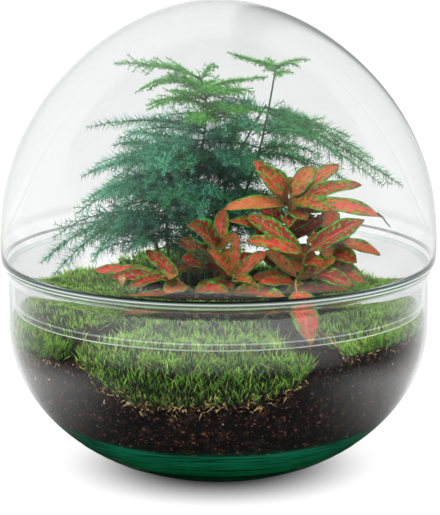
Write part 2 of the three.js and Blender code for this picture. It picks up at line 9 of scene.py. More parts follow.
import bmesh
import bpy
import numpy as np
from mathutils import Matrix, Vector


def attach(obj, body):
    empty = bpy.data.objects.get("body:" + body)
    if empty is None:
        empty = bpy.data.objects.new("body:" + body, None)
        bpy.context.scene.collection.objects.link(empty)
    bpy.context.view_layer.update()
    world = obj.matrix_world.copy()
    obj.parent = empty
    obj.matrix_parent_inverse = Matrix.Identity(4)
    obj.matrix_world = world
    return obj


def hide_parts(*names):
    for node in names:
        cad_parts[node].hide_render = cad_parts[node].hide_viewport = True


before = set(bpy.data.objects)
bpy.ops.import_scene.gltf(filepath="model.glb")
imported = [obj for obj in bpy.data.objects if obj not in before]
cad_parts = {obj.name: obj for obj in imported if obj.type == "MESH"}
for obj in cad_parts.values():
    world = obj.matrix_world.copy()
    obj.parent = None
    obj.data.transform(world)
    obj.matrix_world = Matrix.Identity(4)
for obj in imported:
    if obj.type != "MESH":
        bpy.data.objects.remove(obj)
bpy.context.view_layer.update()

# %% [markdown]
# ## Sizes
# Lengths are in millimetres, as on the drawing of the terrarium, and are turned into Blender's
# metres when a mesh is made. The glass, the soil and the moss are all turned about the vertical
# axis, so most places are a radius, an angle and a height.

# %% Sizes
MM = 0.001
TOTAL_HEIGHT = 300
DOME_RADIUS = 140
DOME_WIDEST_Z = 147
DOME_EGG = 0.11
WALL = 1.6
RIM_Z = 132
RIM_HEIGHT = 9
RIM_BULGE = 2.2
RIM_ROUND = 1.6
BOWL_RADIUS = 135
BOWL_STRAIGHT_Z = 92
BOWL_OUTER_DEPTH = 101.5
FOOT_THICKENING = 10.4
BOWL_FLOOR_Z = 14
FOOT_RADIUS = 57
FOOT_RING_INNER = 50
PUNT_RADIUS = 42
PUNT_HEIGHT = 1.8
NECK_RADIUS = 131.2
NECK_END_Z = 104.0
NECK_BEAD = 0.05
NECK_BAND = 4.4
SEAT_Z = 132.3
SOIL_TOP_Z = 110
UP = np.array([0.0, 0.0, 1.0])
FULL_TURN = 6.283


def ease(x, start, end):
    """0 before start, 1 after end, and smooth between them."""
    t = np.clip((np.asarray(x, float) - start) / (end - start), 0, 1)
    return t * t * (3 - 2 * t)


def mix(a, b, share):
    return a + (b - a) * share


def polar(radius, degrees, height):
    a = np.radians(degrees)
    return np.stack([radius * np.cos(a), radius * np.sin(a), height + 0 * a], -1)


def unit(vectors):
    return vectors / np.maximum(np.linalg.norm(vectors, axis=-1, keepdims=True), 1e-6)


# %% [markdown]
# ## Shader maths
# A material is a graph of nodes. Wrapping a socket in a small class lets the graph be written as
# arithmetic: each operator adds its Math node. Every other node comes from one method, which takes
# the node's type, its settings and its sockets.

# %% Shader maths
class Flow:
    """A value that runs from one node to the next."""

    def __init__(self, finish, socket):
        self.finish = finish
        self.socket = socket

    def maths(self, operation, a, b):
        return self.finish.node("Math", {"operation": operation}, {0: a, 1: b})

    def __add__(self, other):
        return self.maths("ADD", self, other)

    __radd__ = __add__

    def __sub__(self, other):
        return self.maths("SUBTRACT", self, other)

    def __rsub__(self, other):
        return self.maths("SUBTRACT", other, self)

    def __mul__(self, other):
        return self.maths("MULTIPLY", self, other)

    __rmul__ = __mul__

    def __abs__(self):
        return self.maths("ABSOLUTE", self, 0.0)

    def ramp(self, low, high, start=0.0, end=1.0):
        """The value spread from low..high to start..end, and held there outside."""
        settings = {"interpolation_type": "SMOOTHSTEP"}
        sockets = {"Value": self, 1: low, 2: high, 3: start, 4: end}
        return self.finish.node("MapRange", settings, sockets)

    def band(self, low, full, last, high):
        """1 from full to last, and 0 below low and above high."""
        return self.ramp(low, full) * self.ramp(high, last)

    def nearing(self, goal, share):
        """The value moved to the goal by a share of the way."""
        return self + share * (goal - self)


def paint(code):
    """A colour written as six hexadecimal digits, as the linear colour that nodes use."""
    parts = [int(code[i : i + 2], 16) / 255 for i in (0, 2, 4)]
    linear = [c / 12.92 if c <= 0.04045 else ((c + 0.055) / 1.055) ** 2.4 for c in parts]
    return (*linear, 1.0)


def grey(level):
    return (level, level, level, 1)


class Finish:
    """A material and the nodes in it, or another holder of nodes such as the world."""

    def __init__(self, name, holder=None):
        self.material = holder or bpy.data.materials.new(name)
        self.material.use_nodes = True
        self.tree = self.material.node_tree
        self.tree.nodes.clear()

    def node(self, kind, settings, sockets, out=0):
        made = self.tree.nodes.new("ShaderNode" + kind)
        for name, value in settings.items():
            setattr(made, name, value)
        for name, value in sockets.items():
            if isinstance(value, Flow):
                self.tree.links.new(value.socket, made.inputs[name])
            else:
                made.inputs[name].default_value = value
        return None if out is None else Flow(self, made.outputs[out])

    def place(self):
        """Object coordinates, in metres."""
        return self.node("TexCoord", {}, {}, "Object")

    def axis(self, vector, number):
        """One of a vector's three coordinates."""
        return self.node("SeparateXYZ", {}, {0: vector}, number)

    def distance(self, a, b):
        return self.node("VectorMath", {"operation": "DISTANCE"}, {0: a, 1: b}, "Value")

    def ray(self, name):
        """1 for one kind of ray, such as those from lamps, and 0 for the others."""
        return self.node("LightPath", {}, {}, name)

    def mark(self, name):
        """A number that the mesh carries at each point."""
        return self.node("Attribute", {"attribute_name": name}, {}, "Fac")

    def blend(self, a, b, share):
        """Colour a, and colour b over it by a share. A colour may be given by its code."""
        a, b = (paint(colour) if isinstance(colour, str) else colour for colour in (a, b))
        settings = {"data_type": "RGBA", "clamp_factor": True}
        return self.node("Mix", settings, {0: share, 6: a, 7: b}, 2)

    def noise(self, where, size, detail=2.0, rough=0.5):
        """Cloudy noise from 0 to 1 whose patches are about this many millimetres wide."""
        sockets = {"Vector": where, "Scale": 1 / (size * MM), "Detail": detail, "Roughness": rough}
        return self.node("TexNoise", {}, sockets)

    def bump(self, height, depth):
        return self.node("Bump", {}, {"Height": height, "Distance": depth * MM})

    def output(self, shader, kind="OutputMaterial"):
        self.node(kind, {}, {"Surface": shader}, None)
        return self.material

    def surface(self, colour, roughness, others):
        sockets = {"Base Color": colour, "Roughness": roughness, **others}
        return self.node("BsdfPrincipled", {}, sockets)

    def opaque(self, colour, roughness, **others):
        """The finished material of anything but glass."""
        return self.output(self.surface(colour, roughness, others))


# %% [markdown]
# ## Shapes and piles
# A needle, a moss leaf or a crumb is made once with bmesh operators, and then repeated thousands of
# times. Copying the arrays of the finished shape is far quicker than running the operators for
# each copy. Each copy may carry marks, numbers that its material reads to vary the colour.

# %% Shapes and piles
class Shape:
    """The points and faces of a finished bmesh."""

    def __init__(self, bm):
        bm.verts.index_update()
        self.points = np.array([v.co for v in bm.verts])
        self.sizes = np.array([len(f.verts) for f in bm.faces])
        self.corners = np.array([v.index for f in bm.faces for v in f.verts])
        bm.free()

    def moved(self, points):
        other = object.__new__(Shape)
        other.points, other.sizes, other.corners = points, self.sizes, self.corners
        return other


class Pile:
    """Closed shapes gathered into one mesh."""

    def __init__(self, marks=("tone", "along", "age")):
        self.points, self.corners, self.sizes, self.slots, self.count = [], [], [], [], 0
        self.marks = {name: [] for name in marks}

    def add(self, shape, turns=None, slot=0, **marks):
        """The shape itself, or a copy for each 4 by 3 matrix in turns (three axes and a place).
        A mark is one number, a list with one for each copy, or a row with one for each point."""
        if turns is None:
            turns = np.concatenate([np.eye(3), np.zeros((1, 3))])[None]
        n, size = len(turns), len(shape.points)
        points = np.einsum("vk,nkj->nvj", shape.points, turns[:, :3]) + turns[:, None, 3]
        starts = self.count + size * np.arange(n)
        self.points.append(points.reshape(-1, 3))
        self.corners.append((shape.corners[None] + starts[:, None]).ravel())
        self.sizes.append(np.tile(shape.sizes, n))
        self.slots.append(np.full(n * len(shape.sizes), slot))
        for name, gathered in self.marks.items():
            value = np.asarray(marks.get(name, 0.0), float)
            value = value[:, None] if value.ndim == 1 else value
            gathered.append(np.broadcast_to(value, (n, size)).ravel())
        self.count += n * size

    def piece(self, name, materials, slot, node, squeeze=None):
        """The pile as one finished piece. The squeeze moves points that would reach the glass."""
        points = np.concatenate(self.points)
        if squeeze is not None:
            points = squeeze(points)
        sizes = np.concatenate(self.sizes)
        mesh = bpy.data.meshes.new(name)
        mesh.vertices.add(len(points))
        mesh.vertices.foreach_set("co", (points * MM).ravel())
        mesh.loops.add(int(sizes.sum()))
        mesh.loops.foreach_set("vertex_index", np.concatenate(self.corners))
        mesh.polygons.add(len(sizes))
        mesh.polygons.foreach_set("loop_start", np.concatenate([[0], np.cumsum(sizes)[:-1]]))
        mesh.polygons.foreach_set("material_index", np.concatenate(self.slots))
        mesh.polygons.foreach_set("use_smooth", np.full(len(sizes), True))
        for mark, values in self.marks.items():
            layer = mesh.attributes.new(mark, "FLOAT", "POINT")
            layer.data.foreach_set("value", np.concatenate(values))
        for material in materials:
            mesh.materials.append(material)
        mesh.update(calc_edges=True)
        print(name, int((sizes - 2).sum()), "triangles")
        stand_for(mesh, node)


def placed(name, data):
    """A new object in the scene."""
    made = bpy.data.objects.new(name, data)
    bpy.context.scene.collection.objects.link(made)
    return made


def stand_for(mesh, node):
    """The finished piece rides with the model and stands for its node."""
    piece = placed(mesh.name, mesh)
    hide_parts(node)
    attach(piece, "root")


def aimed(places, directions, lengths, widths, spin):
    """Matrices that stand a unit shape at each place, its +Z along the direction."""
    z = unit(directions)
    helper = np.where(np.abs(z[:, 2:]) > 0.9, [[1.0, 0, 0]], [[0, 0, 1.0]])
    x = unit(np.cross(helper, z))
    y = np.cross(z, x)
    c, s = np.cos(spin)[:, None], np.sin(spin)[:, None]
    x, y = x * c + y * s, y * c - x * s
    w, h = np.asarray(widths)[:, None], np.asarray(lengths)[:, None]
    return np.stack([x * w, y * w, z * h, places], 1)


def spike(bend, cuts=(0.5,)):
    """A pointed blade one unit long, from a cone that is cut across and bent forward."""
    belly = 1.2
    bm = bmesh.new()
    bmesh.ops.create_cone(bm, cap_ends=True, segments=3, radius1=0.5, radius2=0.0, depth=1.0)
    bmesh.ops.translate(bm, vec=(0, 0, 0.5), verts=bm.verts)
    for height in cuts:
        geom = bm.verts[:] + bm.edges[:] + bm.faces[:]
        bmesh.ops.bisect_plane(bm, geom=geom, plane_co=(0, 0, height), plane_no=(0, 0, 1))
    for v in bm.verts:
        v.co.x *= 1 + belly * v.co.z * (1 - v.co.z)
        v.co.y *= 1 + belly * v.co.z * (1 - v.co.z)
        v.co.x += bend * v.co.z**2
    return Shape(bm)


def unit_slab(columns, rows):
    """A thin box: x and y run over -1..1 in small cells, and z is -1 below and 1 above."""
    bm = bmesh.new()
    bmesh.ops.create_grid(bm, x_segments=columns, y_segments=rows, size=1.0)
    bmesh.ops.translate(bm, vec=(0, 0, -1), verts=bm.verts)
    made = bmesh.ops.extrude_face_region(bm, geom=bm.faces[:], use_keep_orig=True)
    raised = [v for v in made["geom"] if isinstance(v, bmesh.types.BMVert)]
    bmesh.ops.translate(bm, vec=(0, 0, 2), verts=raised)
    bmesh.ops.recalc_face_normals(bm, faces=bm.faces)
    return Shape(bm)


def turned(bm, outline, steps):
    """The outline's points, joined by edges and spun once round the vertical axis."""
    edges = [bm.edges.new(pair) for pair in zip(outline, outline[1:])]
    bmesh.ops.spin(
        bm, geom=outline + edges, axis=(0, 0, 1), cent=(0, 0, 0), angle=2 * math.pi,
        steps=steps, use_merge=True,
    )
    bmesh.ops.remove_doubles(bm, verts=bm.verts, dist=1e-5)
    bmesh.ops.recalc_face_normals(bm, faces=bm.faces)


def tapered(points, start, end):
    """A strand: points along a line, with radii that run from start to end."""
    return points, np.linspace(start, end, len(points))


def tubes(strands, sides=0):
    """Round tubes along strands. A bevelled curve makes them, because it keeps a tube from
    twisting and closes its ends."""
    line = bpy.data.curves.new("strands", "CURVE")
    line.dimensions = "3D"
    line.bevel_depth = 1.0
    line.bevel_resolution = sides
    line.use_fill_caps = True
    for points, radii in strands:
        spline = line.splines.new("POLY")
        spline.points.add(len(points) - 1)
        spline.points.foreach_set("co", np.column_stack([points, np.ones(len(points))]).ravel())
        spline.points.foreach_set("radius", radii)
    holder = bpy.data.objects.new("strands", line)
    mesh = bpy.data.meshes.new_from_object(holder)
    bm = bmesh.new()
    bm.from_mesh(mesh)
    bmesh.ops.remove_doubles(bm, verts=bm.verts, dist=1e-5)
    bpy.data.objects.remove(holder)
    bpy.data.curves.remove(line)
    bpy.data.meshes.remove(mesh)
    return Shape(bm)


# %% [markdown]
# ## Lines that stems follow
# A stem rises through a few measured points. A Catmull-Rom line passes through all of them
# smoothly. Reading it by its share of the length keeps leaves and twigs evenly spaced.

# %% Lines
KNOT_STEPS = 12


class Line:
    """A line of close points, read by its share of the length."""

    def __init__(self, points):
        self.points = np.asarray(points, float)
        steps = np.linalg.norm(np.diff(self.points, axis=0), axis=1)
        self.lengths = np.concatenate([[0], np.cumsum(steps)])
        self.length = self.lengths[-1]

    def at(self, share):
        where = np.asarray(share, float) * self.length
        return np.stack([np.interp(where, self.lengths, self.points[:, k]) for k in range(3)], -1)

    def along(self, share):
        share = np.asarray(share, float)
        return unit(self.at(np.minimum(share + 0.02, 1)) - self.at(np.maximum(share - 0.02, 0)))


def smooth_line(knots):
    k = np.asarray(knots, float)
    k = np.concatenate([[2 * k[0] - k[1]], k, [2 * k[-1] - k[-2]]])
    found = []
    for p0, p1, p2, p3 in zip(k, k[1:], k[2:], k[3:]):
        a, b, c = (np.linalg.norm(q - p) ** 0.5 for p, q in ((p0, p1), (p1, p2), (p2, p3)))
        m1 = ((p1 - p0) / a - (p2 - p0) / (a + b) + (p2 - p1) / b) * b
        m2 = ((p2 - p1) / b - (p3 - p1) / (b + c) + (p3 - p2) / c) * b
        for t in np.arange(KNOT_STEPS) / KNOT_STEPS:
            h = t * t * (3 - 2 * t)
            found.append(p1 + (p2 - p1) * h + m1 * t * (1 - t) ** 2 - m2 * t * t * (1 - t))
    return Line([*found, k[-2]])


def bow(start, middle, end, t):
    """Points of a bow that leaves start towards the middle and comes from there to the end."""
    return np.outer((1 - t) ** 2, start) + np.outer(2 * t * (1 - t), middle) + np.outer(t * t, end)


def arched(start, end, arch, steps=8):
    middle = (start + end) / 2 + 2 * arch * UP
    return Line(bow(start, middle, end, np.linspace(0, 1, steps + 1)))


# %% [markdown]
# ## Clear glass
# Real glass bends light where it enters and leaves, so each wall is a closed solid with an outside
# and an inside, and Principled BSDF with full transmission does the rest. Lamps can't reach through
# bent glass cheaply, so shadow rays take a plain Transparent shader instead. Only the thick foot and
# the dome's corner at the seam look green, so the tint is driven by height. The corner's near black
# green is partly that tint and partly painted shade, the dark line along the seam. The lowest few
# millimetres of the foot are painted near black, a painted contact shadow.
#
# The mark "line" is a painted highlight: a faint glow on rounded edges, where they would catch the
# light. The mark "outer" is 1 on the outside of a wall, and tells a far wall from a near one. Near
# the seam the far wall is mostly clear to rays that came through the near one, because real glass
# shows only a hairline there.

# %% Glass finishes
SEAM = (128, 130, 134, 136)
SEAM_CORNER = (134.7, 135.2, 136.1, 136.6)
CLEAR_ZONE = (92, 100, 142, 152)
FAR_CLEARNESS = 0.85
FAR_CORNER = 0.45
FOOT_GREEN_TOP = 44
FOOT_GLOW = (1.5, 5, 18, FOOT_GREEN_TOP)
LINE_LIGHT = (0.6, 0.68, 0.64, 1)
FOOT_LIGHT = (0.002, 0.055, 0.028, 1)


def foot_painted_glow(glass, height):
    """Painted green glow in streaks round the back of the foot, for light that its thick edge
    gathers.
    """
    flat = glass.node("VectorMath", {"operation": "MULTIPLY"}, {0: glass.place(), 1: (1, 1, 12)})
    streaks = glass.noise(flat, 30.0, 3.0, 0.6).ramp(0.45, 0.58, 0.25, 2.6)
    behind = glass.node("NewGeometry", {}, {}, "Backfacing") * glass.mark("outer")
    return behind * height.band(*FOOT_GLOW) * streaks


def glass_finish(name, tinted):
    glass = Finish(name)
    height = glass.axis(glass.place(), 2) * (1 / MM)
    edge_on = glass.node("LayerWeight", {}, {"Blend": 0.5}, "Facing")
    corner = height.band(*SEAM_CORNER)
    colour = glass.blend("F5F6F6", "BCD2CA", edge_on.ramp(0.78, 0.97))
    colour = glass.blend(colour, "E2EDE8", height.band(*SEAM))
    # Partly the thick glass's green, partly painted shade: the dark line along the seam.
    colour = glass.blend(colour, "0C1E18", corner)
    # Painted highlight: the mark "line" lights thin lines on the rims by emission.
    light = glass.blend(grey(0), LINE_LIGHT, glass.mark("line"))
    if tinted:
        colour = glass.blend(colour, "04A56C", height.ramp(FOOT_GREEN_TOP, BOWL_FLOOR_Z))
        # Painted shadow: the foot's lowest few millimetres go near black as a contact line.
        colour = glass.blend(colour, "020504", height.ramp(4, 0.5))
        # Painted glow: green light in streaks round the back of the foot.
        light = glass.blend(light, FOOT_LIGHT, foot_painted_glow(glass, height))
    within = glass.node("NewGeometry", {}, {}, "Backfacing")
    far_wall = 1.0 - abs(glass.mark("outer") - within)
    far_wall = far_wall * glass.ray("Transmission Depth").ramp(1, 2)
    clearness = height.band(*CLEAR_ZONE) * (FAR_CLEARNESS - corner * FAR_CORNER)
    sockets = {"IOR": 1.45, "Transmission Weight": 1.0, "Alpha": 1.0 - far_wall * clearness}
    sockets |= {"Emission Color": light, "Emission Strength": 1.0}
    lit = glass.surface(colour, 0.0, sockets)
    passing = glass.node("BsdfTransparent", {}, {"Color": paint("FCFCFC")})
    for kind in ("Is Shadow Ray", "Is Diffuse Ray"):
        lit = glass.node("MixShader", {}, {0: glass.ray(kind), 1: lit, 2: passing})
    return glass.output(lit)


dome_glass = glass_finish("dome_glass", False)
bowl_glass = glass_finish("bowl_glass", True)
print("glass:", dome_glass.name, bowl_glass.name)

# %% [markdown]
# ## The bowl and the dome
# Both were blown in a round mould, so each is a profile spun about the vertical axis. The spin is
# in 160 steps, because clear glass shows every facet as a bent line. Fine rings are pressed into
# the foot, and they catch the light as bright lines. The dome's neck hangs inside the bowl and ends
# in a band that is a little thicker. Its shoulder turns out from the neck and rests on the rim.

# %% The bowl and the dome
GLASS_STEPS = 160
HIGHLIGHT_REACH = 0.6
BOWL_HIGHLIGHT_LINES = [(137.1, 131.3, 1.0)]
DOME_HIGHLIGHT_LINES = [(139.0, 133.8, 1.0), (131.0, 104.4, 0.8), (131.3, 108.4, 0.6)]
RINGS_FROM, RINGS_TO = 6, 20
RING_DEPTH = 0.3


def bowl_outside(z):
    drop = (BOWL_STRAIGHT_Z - np.minimum(z, BOWL_STRAIGHT_Z)) / BOWL_OUTER_DEPTH
    return BOWL_RADIUS * np.sqrt(1 - drop**2)


def bowl_inside(z):
    return bowl_outside(z) - WALL - FOOT_THICKENING * (1 - ease(z, 9, 36))


def spun(name, inside, outside, lines, material, node):
    """A closed glass wall, turned from the outlines of its inside and outside, each a list of
    radius and height. A line of painted highlight is given as its radius, height and strength."""
    bm = bmesh.new()
    outer = bm.verts.layers.float.new("outer")
    line = bm.verts.layers.float.new("line")
    outline = []
    for number, (r, z) in enumerate(inside + outside):
        v = bm.verts.new((r * MM, 0, z * MM))
        v[outer] = float(number >= len(inside))
        for out, up, strength in lines:
            v[line] += strength * max(0, 1 - math.dist((r, z), (out, up)) / HIGHLIGHT_REACH)
        outline.append(v)
    turned(bm, outline, GLASS_STEPS)
    mesh = bpy.data.meshes.new(name)
    bm.to_mesh(mesh)
    bm.free()
    mesh.shade_smooth()
    mesh.materials.append(material)
    print(name, len(mesh.polygons), "faces")
    stand_for(mesh, node)


def bowl_profile():
    """The inside from the floor's centre up to the rim, and the outside back down to the foot."""
    hollow = [0, 20, *range(PUNT_RADIUS, FOOT_RING_INNER + 1, 2)]
    foot = [(r, PUNT_HEIGHT * (1 - ease(r, PUNT_RADIUS, FOOT_RING_INNER))) for r in hollow]
    foot += [(FOOT_RADIUS - 3, 0), (FOOT_RADIUS, 0.4), (64, 2.9)]
    low = np.arange(RINGS_FROM, RINGS_TO, 0.75)
    rings = [(bowl_outside(z) + RING_DEPTH * math.sin(z * 2.1), z) for z in low]
    side = [(bowl_outside(z), z) for z in np.linspace(RINGS_TO, BOWL_STRAIGHT_Z, 24)]
    side += [(BOWL_RADIUS, z) for z in (100, 110, RIM_Z - RIM_HEIGHT)]
    rim = [(BOWL_RADIUS + 0.1, RIM_Z - 4.1), (BOWL_RADIUS + 0.6, RIM_Z - 3.4)]
    for a in np.radians(np.arange(-45, 91, 22.5)):
        out = BOWL_RADIUS + RIM_BULGE - RIM_ROUND + RIM_ROUND * math.cos(a)
        rim.append((out, RIM_Z - RIM_ROUND + RIM_ROUND * math.sin(a)))
    rim += [(BOWL_RADIUS - 0.6, RIM_Z), (BOWL_RADIUS - 1.2, RIM_Z - 0.3)]
    rim += [(BOWL_RADIUS - WALL + 0.05, RIM_Z - 1.0)]
    inner_z = [126, 118, 105, *np.linspace(BOWL_STRAIGHT_Z, BOWL_FLOOR_Z + 1, 26)]
    inside = [(bowl_inside(z), z) for z in inner_z]
    inside += [(r, BOWL_FLOOR_Z) for r in (73, 60, 30, 0)]
    return inside[::-1], (foot + rings + side + rim)[::-1]


def dome_curve(radius, top, steps):
    t = np.sin(np.linspace(0, math.pi / 2, steps + 1))
    width = radius * np.sqrt(np.maximum(0, 1 - t * t)) * (1 - DOME_EGG * t**3)
    width[-1] = 0
    return list(zip(width, mix(DOME_WIDEST_Z, top, t)))


def dome_profile():
    """The inside from the top down to the neck's end, and the outside from there to the top."""
    neck_in, band_top = NECK_RADIUS - WALL, NECK_END_Z + NECK_BAND
    middle, half = NECK_RADIUS - WALL / 2, WALL / 2 + NECK_BEAD
    inside = dome_curve(DOME_RADIUS - WALL, TOTAL_HEIGHT - WALL, 36)[::-1]
    rises = [(138.3, 10), (138.2, 6.5), (137.7, 4.2), (136.6, 2.5), (134.9, 1.3), (133.0, 0.4)]
    rises += [(131.2, -0.7), (130.2, -2.2), (129.7, -4.5)]
    inside += [(r, SEAT_Z + rise) for r, rise in rises]
    inside += [(neck_in, 123), (neck_in, 112), (neck_in, band_top + 0.7), (middle - half, band_top)]
    end = []
    for a in np.radians(np.arange(90, -91, -30)):
        end.append((middle - half * math.sin(a), NECK_END_Z + half - half * math.cos(a)))
    band = [(middle + half, z) for z in (NECK_END_Z + 1.5, band_top - 0.8, band_top)]
    outside = end[4:] + band + [(NECK_RADIUS, band_top + 0.7), (NECK_RADIUS, 112)]
    rises = [(NECK_RADIUS, -9), (131.4, -3.4), (131.8, -1.6), (132.6, -0.4), (133.8, 0), (136.6, 0)]
    rises += [(138.0, 0.4), (138.6, 0.9), (139.0, 1.5), (139.3, 2.2), (139.6, 3.4), (139.9, 6.0)]
    outside += [(r, SEAT_Z + rise) for r, rise in rises + [(DOME_RADIUS, 10)]]
    return inside + end[:4], outside + dome_curve(DOME_RADIUS, TOTAL_HEIGHT, 40)


spun("glass_bowl_smooth", *bowl_profile(), BOWL_HIGHLIGHT_LINES, bowl_glass, "glass_bowl")
spun("glass_dome_smooth", *dome_profile(), DOME_HIGHLIGHT_LINES, dome_glass, "glass_dome")

# %% [markdown]
# ## Potting soil
# The soil is a mound that falls to the glass. Its body is one spun profile, whose points are then
# lifted to the soil's height and roughened. Loose crumbs lie on it and press against the glass, and
# a dry twig leans beside the front moss. A few crumbs are pale bark or grit.

# %% Soil finish
def soil_finish():
    soil = Finish("potting_soil")
    where = soil.place()
    tone = soil.mark("tone")
    coarse = soil.noise(where, 5.0, 4.0, 0.75)
    fine = soil.noise(where, 1.3, 3.0, 0.7)
    speck = soil.noise(where, 2.2, 2.0, 0.6)
    colour = soil.blend("020201", "3A281C", coarse.ramp(0.48, 0.66))
    colour = soil.blend(colour, "040303", fine.ramp(0.5, 0.38) * 0.8)
    pale = tone.ramp(0.6, 0.95) * coarse.ramp(0.4, 0.6)
    colour = soil.blend(colour, "96745C", pale * 0.8)
    colour = soil.blend(colour, "7A4A34", (tone + fine * 0.6).ramp(0.9, 1.3))
    colour = soil.blend(colour, "C2AE94", tone.ramp(0.988, 0.992))
    colour = soil.blend(colour, "6E4430", speck.ramp(0.62, 0.68) * 0.8)
    others = {"Normal": soil.bump(fine, 1.2), "Specular IOR Level": 0.2}
    return soil.opaque(colour, coarse.ramp(0.2, 0.8, 0.8, 1.0), **others)


def dry_finish():
    dry = Finish("dry_litter")
    streak = dry.noise(dry.place(), 4.0, 3.0)
    colour = dry.blend("7A4F30", "C39A6C", streak.ramp(0.35, 0.65))
    return dry.opaque(colour, streak.ramp(0, 1, 0.6, 0.8))


# %% Soil body
SOIL_EDGE_Z = 94
FRONT_DIP_AT = -96
FRONT_DIP_HALF = 33
FRONT_DIP_DEPTH = 27
LEFT_DIP_AT = 190
LEFT_DIP_DEPTH = 13
SOIL_STEPS = 220


def turn_from(degrees, centre):
    return (np.asarray(degrees) - centre + 540) % 360 - 180


def soil_at_glass(degrees):
    away = np.minimum(np.abs(turn_from(degrees, FRONT_DIP_AT)) / FRONT_DIP_HALF, 1)
    left = np.maximum(0, np.cos(np.radians(turn_from(degrees, LEFT_DIP_AT)))) ** 3
    ripple = 0.9 * np.sin(np.radians(degrees) * 7)
    return SOIL_EDGE_Z - FRONT_DIP_DEPTH * (1 - away**3.2) - LEFT_DIP_DEPTH * left + ripple


def soil_height(radius, degrees):
    mound = SOIL_TOP_Z + 0.9 * np.sin(radius / 6 + np.radians(degrees) * 3)
    return mix(mound, soil_at_glass(degrees), ease(radius, 62, 128))


def soil_body():
    """Spun with its radius and its height as shares from 0 to 1, and then moved to the ground."""
    profile = [(0, 0), (0.45, 0), (0.9, 0)] + [(1, z) for z in np.linspace(0.02, 0.98, 30)]
    profile += [(r, 1) for r in np.linspace(0.99, 0.02, 44)] + [(0, 1)]
    bm = bmesh.new()
    turned(bm, [bm.verts.new((r, 0, z)) for r, z in profile], SOIL_STEPS)
    body = Shape(bm)
    x, y, share_z = body.points.T
    share_r, turn = np.hypot(x, y), np.degrees(np.arctan2(y, x))
    edge_z = soil_at_glass(turn) - 0.8
    side_z = mix(BOWL_FLOOR_Z + 0.5, edge_z, share_z)
    side_r = bowl_inside(side_z) - 0.7 - 0.9 * rng.random(len(turn))
    top_r = share_r * (bowl_inside(edge_z) - 1.0)
    top_z = soil_height(top_r, turn) - 1.2 * rng.random(len(turn))
    floor_r = share_r * (bowl_inside(BOWL_FLOOR_Z) - 1)
    on_top, on_side = share_z > 0.99, share_r > 0.99
    radius = np.where(on_top, top_r, np.where(on_side, side_r, floor_r))
    height = np.where(on_top, top_z, np.where(on_side, side_z, BOWL_FLOOR_Z + 0.5))
    return body.moved(polar(radius, turn, height))


# %% Crumbs and the dry twig
TOP_CRUMBS = 420
GLASS_CRUMBS = 1000
DRY_TWIG = [(60, -99, 110), (67, -104, 105), (76, -103, 95), (83, -99, 86.5)]


def crumb(seed):
    """A lump: an icosphere whose points are pushed in and out."""
    bm = bmesh.new()
    bmesh.ops.create_icosphere(bm, subdivisions=1, radius=0.5)
    pushes = np.random.default_rng(seed)
    for v in bm.verts:
        v.co *= 0.75 + 0.5 * pushes.random()
    return Shape(bm)


def lump_turns(places, sizes):
    n = len(places)
    directions = rng.normal(size=(n, 3))
    stretch = 0.7 + 0.9 * rng.random(n)
    return aimed(places, directions, sizes * stretch, sizes, rng.random(n) * FULL_TURN)


def at_glass(turn, z, gap):
    """Places inside the bowl, this far from its wall."""
    return polar(bowl_inside(z) - gap, turn, z)


def drawn_in(points, limit):
    """Points further from the axis than the limit are drawn back to it."""
    share = np.minimum(1, limit / np.maximum(np.hypot(points[:, 0], points[:, 1]), 1))
    return points * np.column_stack([share, share, np.ones(len(points))])


def inside_bowl(points):
    """Points that would reach the bowl or the dome's neck are drawn back inside it."""
    z = points[:, 2]
    neck = NECK_RADIUS - WALL - NECK_BEAD
    limit = mix(bowl_inside(z), neck, ease(z, NECK_END_Z - 5, NECK_END_Z - 0.7))
    return drawn_in(points, limit - 0.35)


rng = np.random.default_rng(11)
soil = Pile()
soil.add(soil_body())
for shape in [crumb(seed) for seed in range(5)]:
    turn = 360 * rng.random(TOP_CRUMBS)
    radius = 124 * np.sqrt(rng.random(TOP_CRUMBS))
    size = 0.8 + 2.2 * rng.random(TOP_CRUMBS) ** 2
    places = polar(radius, turn, soil_height(radius, turn) - 0.1)
    soil.add(shape, lump_turns(places, size), tone=rng.random(TOP_CRUMBS))
    turn = 360 * rng.random(GLASS_CRUMBS)
    height = mix(BOWL_FLOOR_Z + 2, soil_at_glass(turn) + 2, rng.random(GLASS_CRUMBS) ** 0.8)
    size = 1.0 + 2.6 * rng.random(GLASS_CRUMBS) ** 2
    places = at_glass(turn, height, 0.9 + size * 0.5)
    soil.add(shape, lump_turns(places, size), tone=rng.random(GLASS_CRUMBS))
soil.add(tubes([tapered(smooth_line(DRY_TWIG).points, 0.8, 0.4)], 1), slot=1)
soil.piece("potting_soil", [soil_finish(), dry_finish()], "soil", "soil", inside_bowl)

# %% [markdown]
# ## Moss
# Each cushion is a slab on the soil, hidden under thousands of small pointed leaves. They stand
# nearly upright and lean with the slope. A leaf is dark at its root and yellow-green at its tip,
# and the mark "along" gives the material its place on the leaf. At the glass a cushion's side shows
# more leaves, with straws among them and dry litter at their foot. The mark "age" makes them straw.

# %% Moss finish
def moss_finish():
    moss = Finish("moss")
    where = moss.place()
    along, tone = moss.mark("along"), moss.mark("tone")
    patch = moss.noise(where, 18.0)
    gap_shade_noise = moss.noise(where, 5.0)
    root = moss.blend("0E1006", "2C2410", patch.ramp(0.4, 0.65))
    middle = moss.blend("468E1A", "88C030", tone)
    tip = moss.blend("8CD038", "E4F48C", tone.ramp(0.4, 1.0))
    straw = moss.blend("4A3418", "C8AC68", tone.ramp(0.3, 0.9))
    colour = moss.blend(root, middle, along.ramp(0.1, 0.5))
    colour = moss.blend(colour, tip, along.ramp(0.4, 0.95))
    colour = moss.blend(colour, "1F4A18", patch.ramp(0.5, 0.3) * 0.6)
    # Painted shade: dark gaps between the tufts.
    colour = moss.blend(colour, "10200A", gap_shade_noise.ramp(0.5, 0.36) * 0.75)
    colour = moss.blend(colour, straw, moss.mark("age"))
    return moss.opaque(colour, tone.ramp(0, 1, 0.55, 0.75))


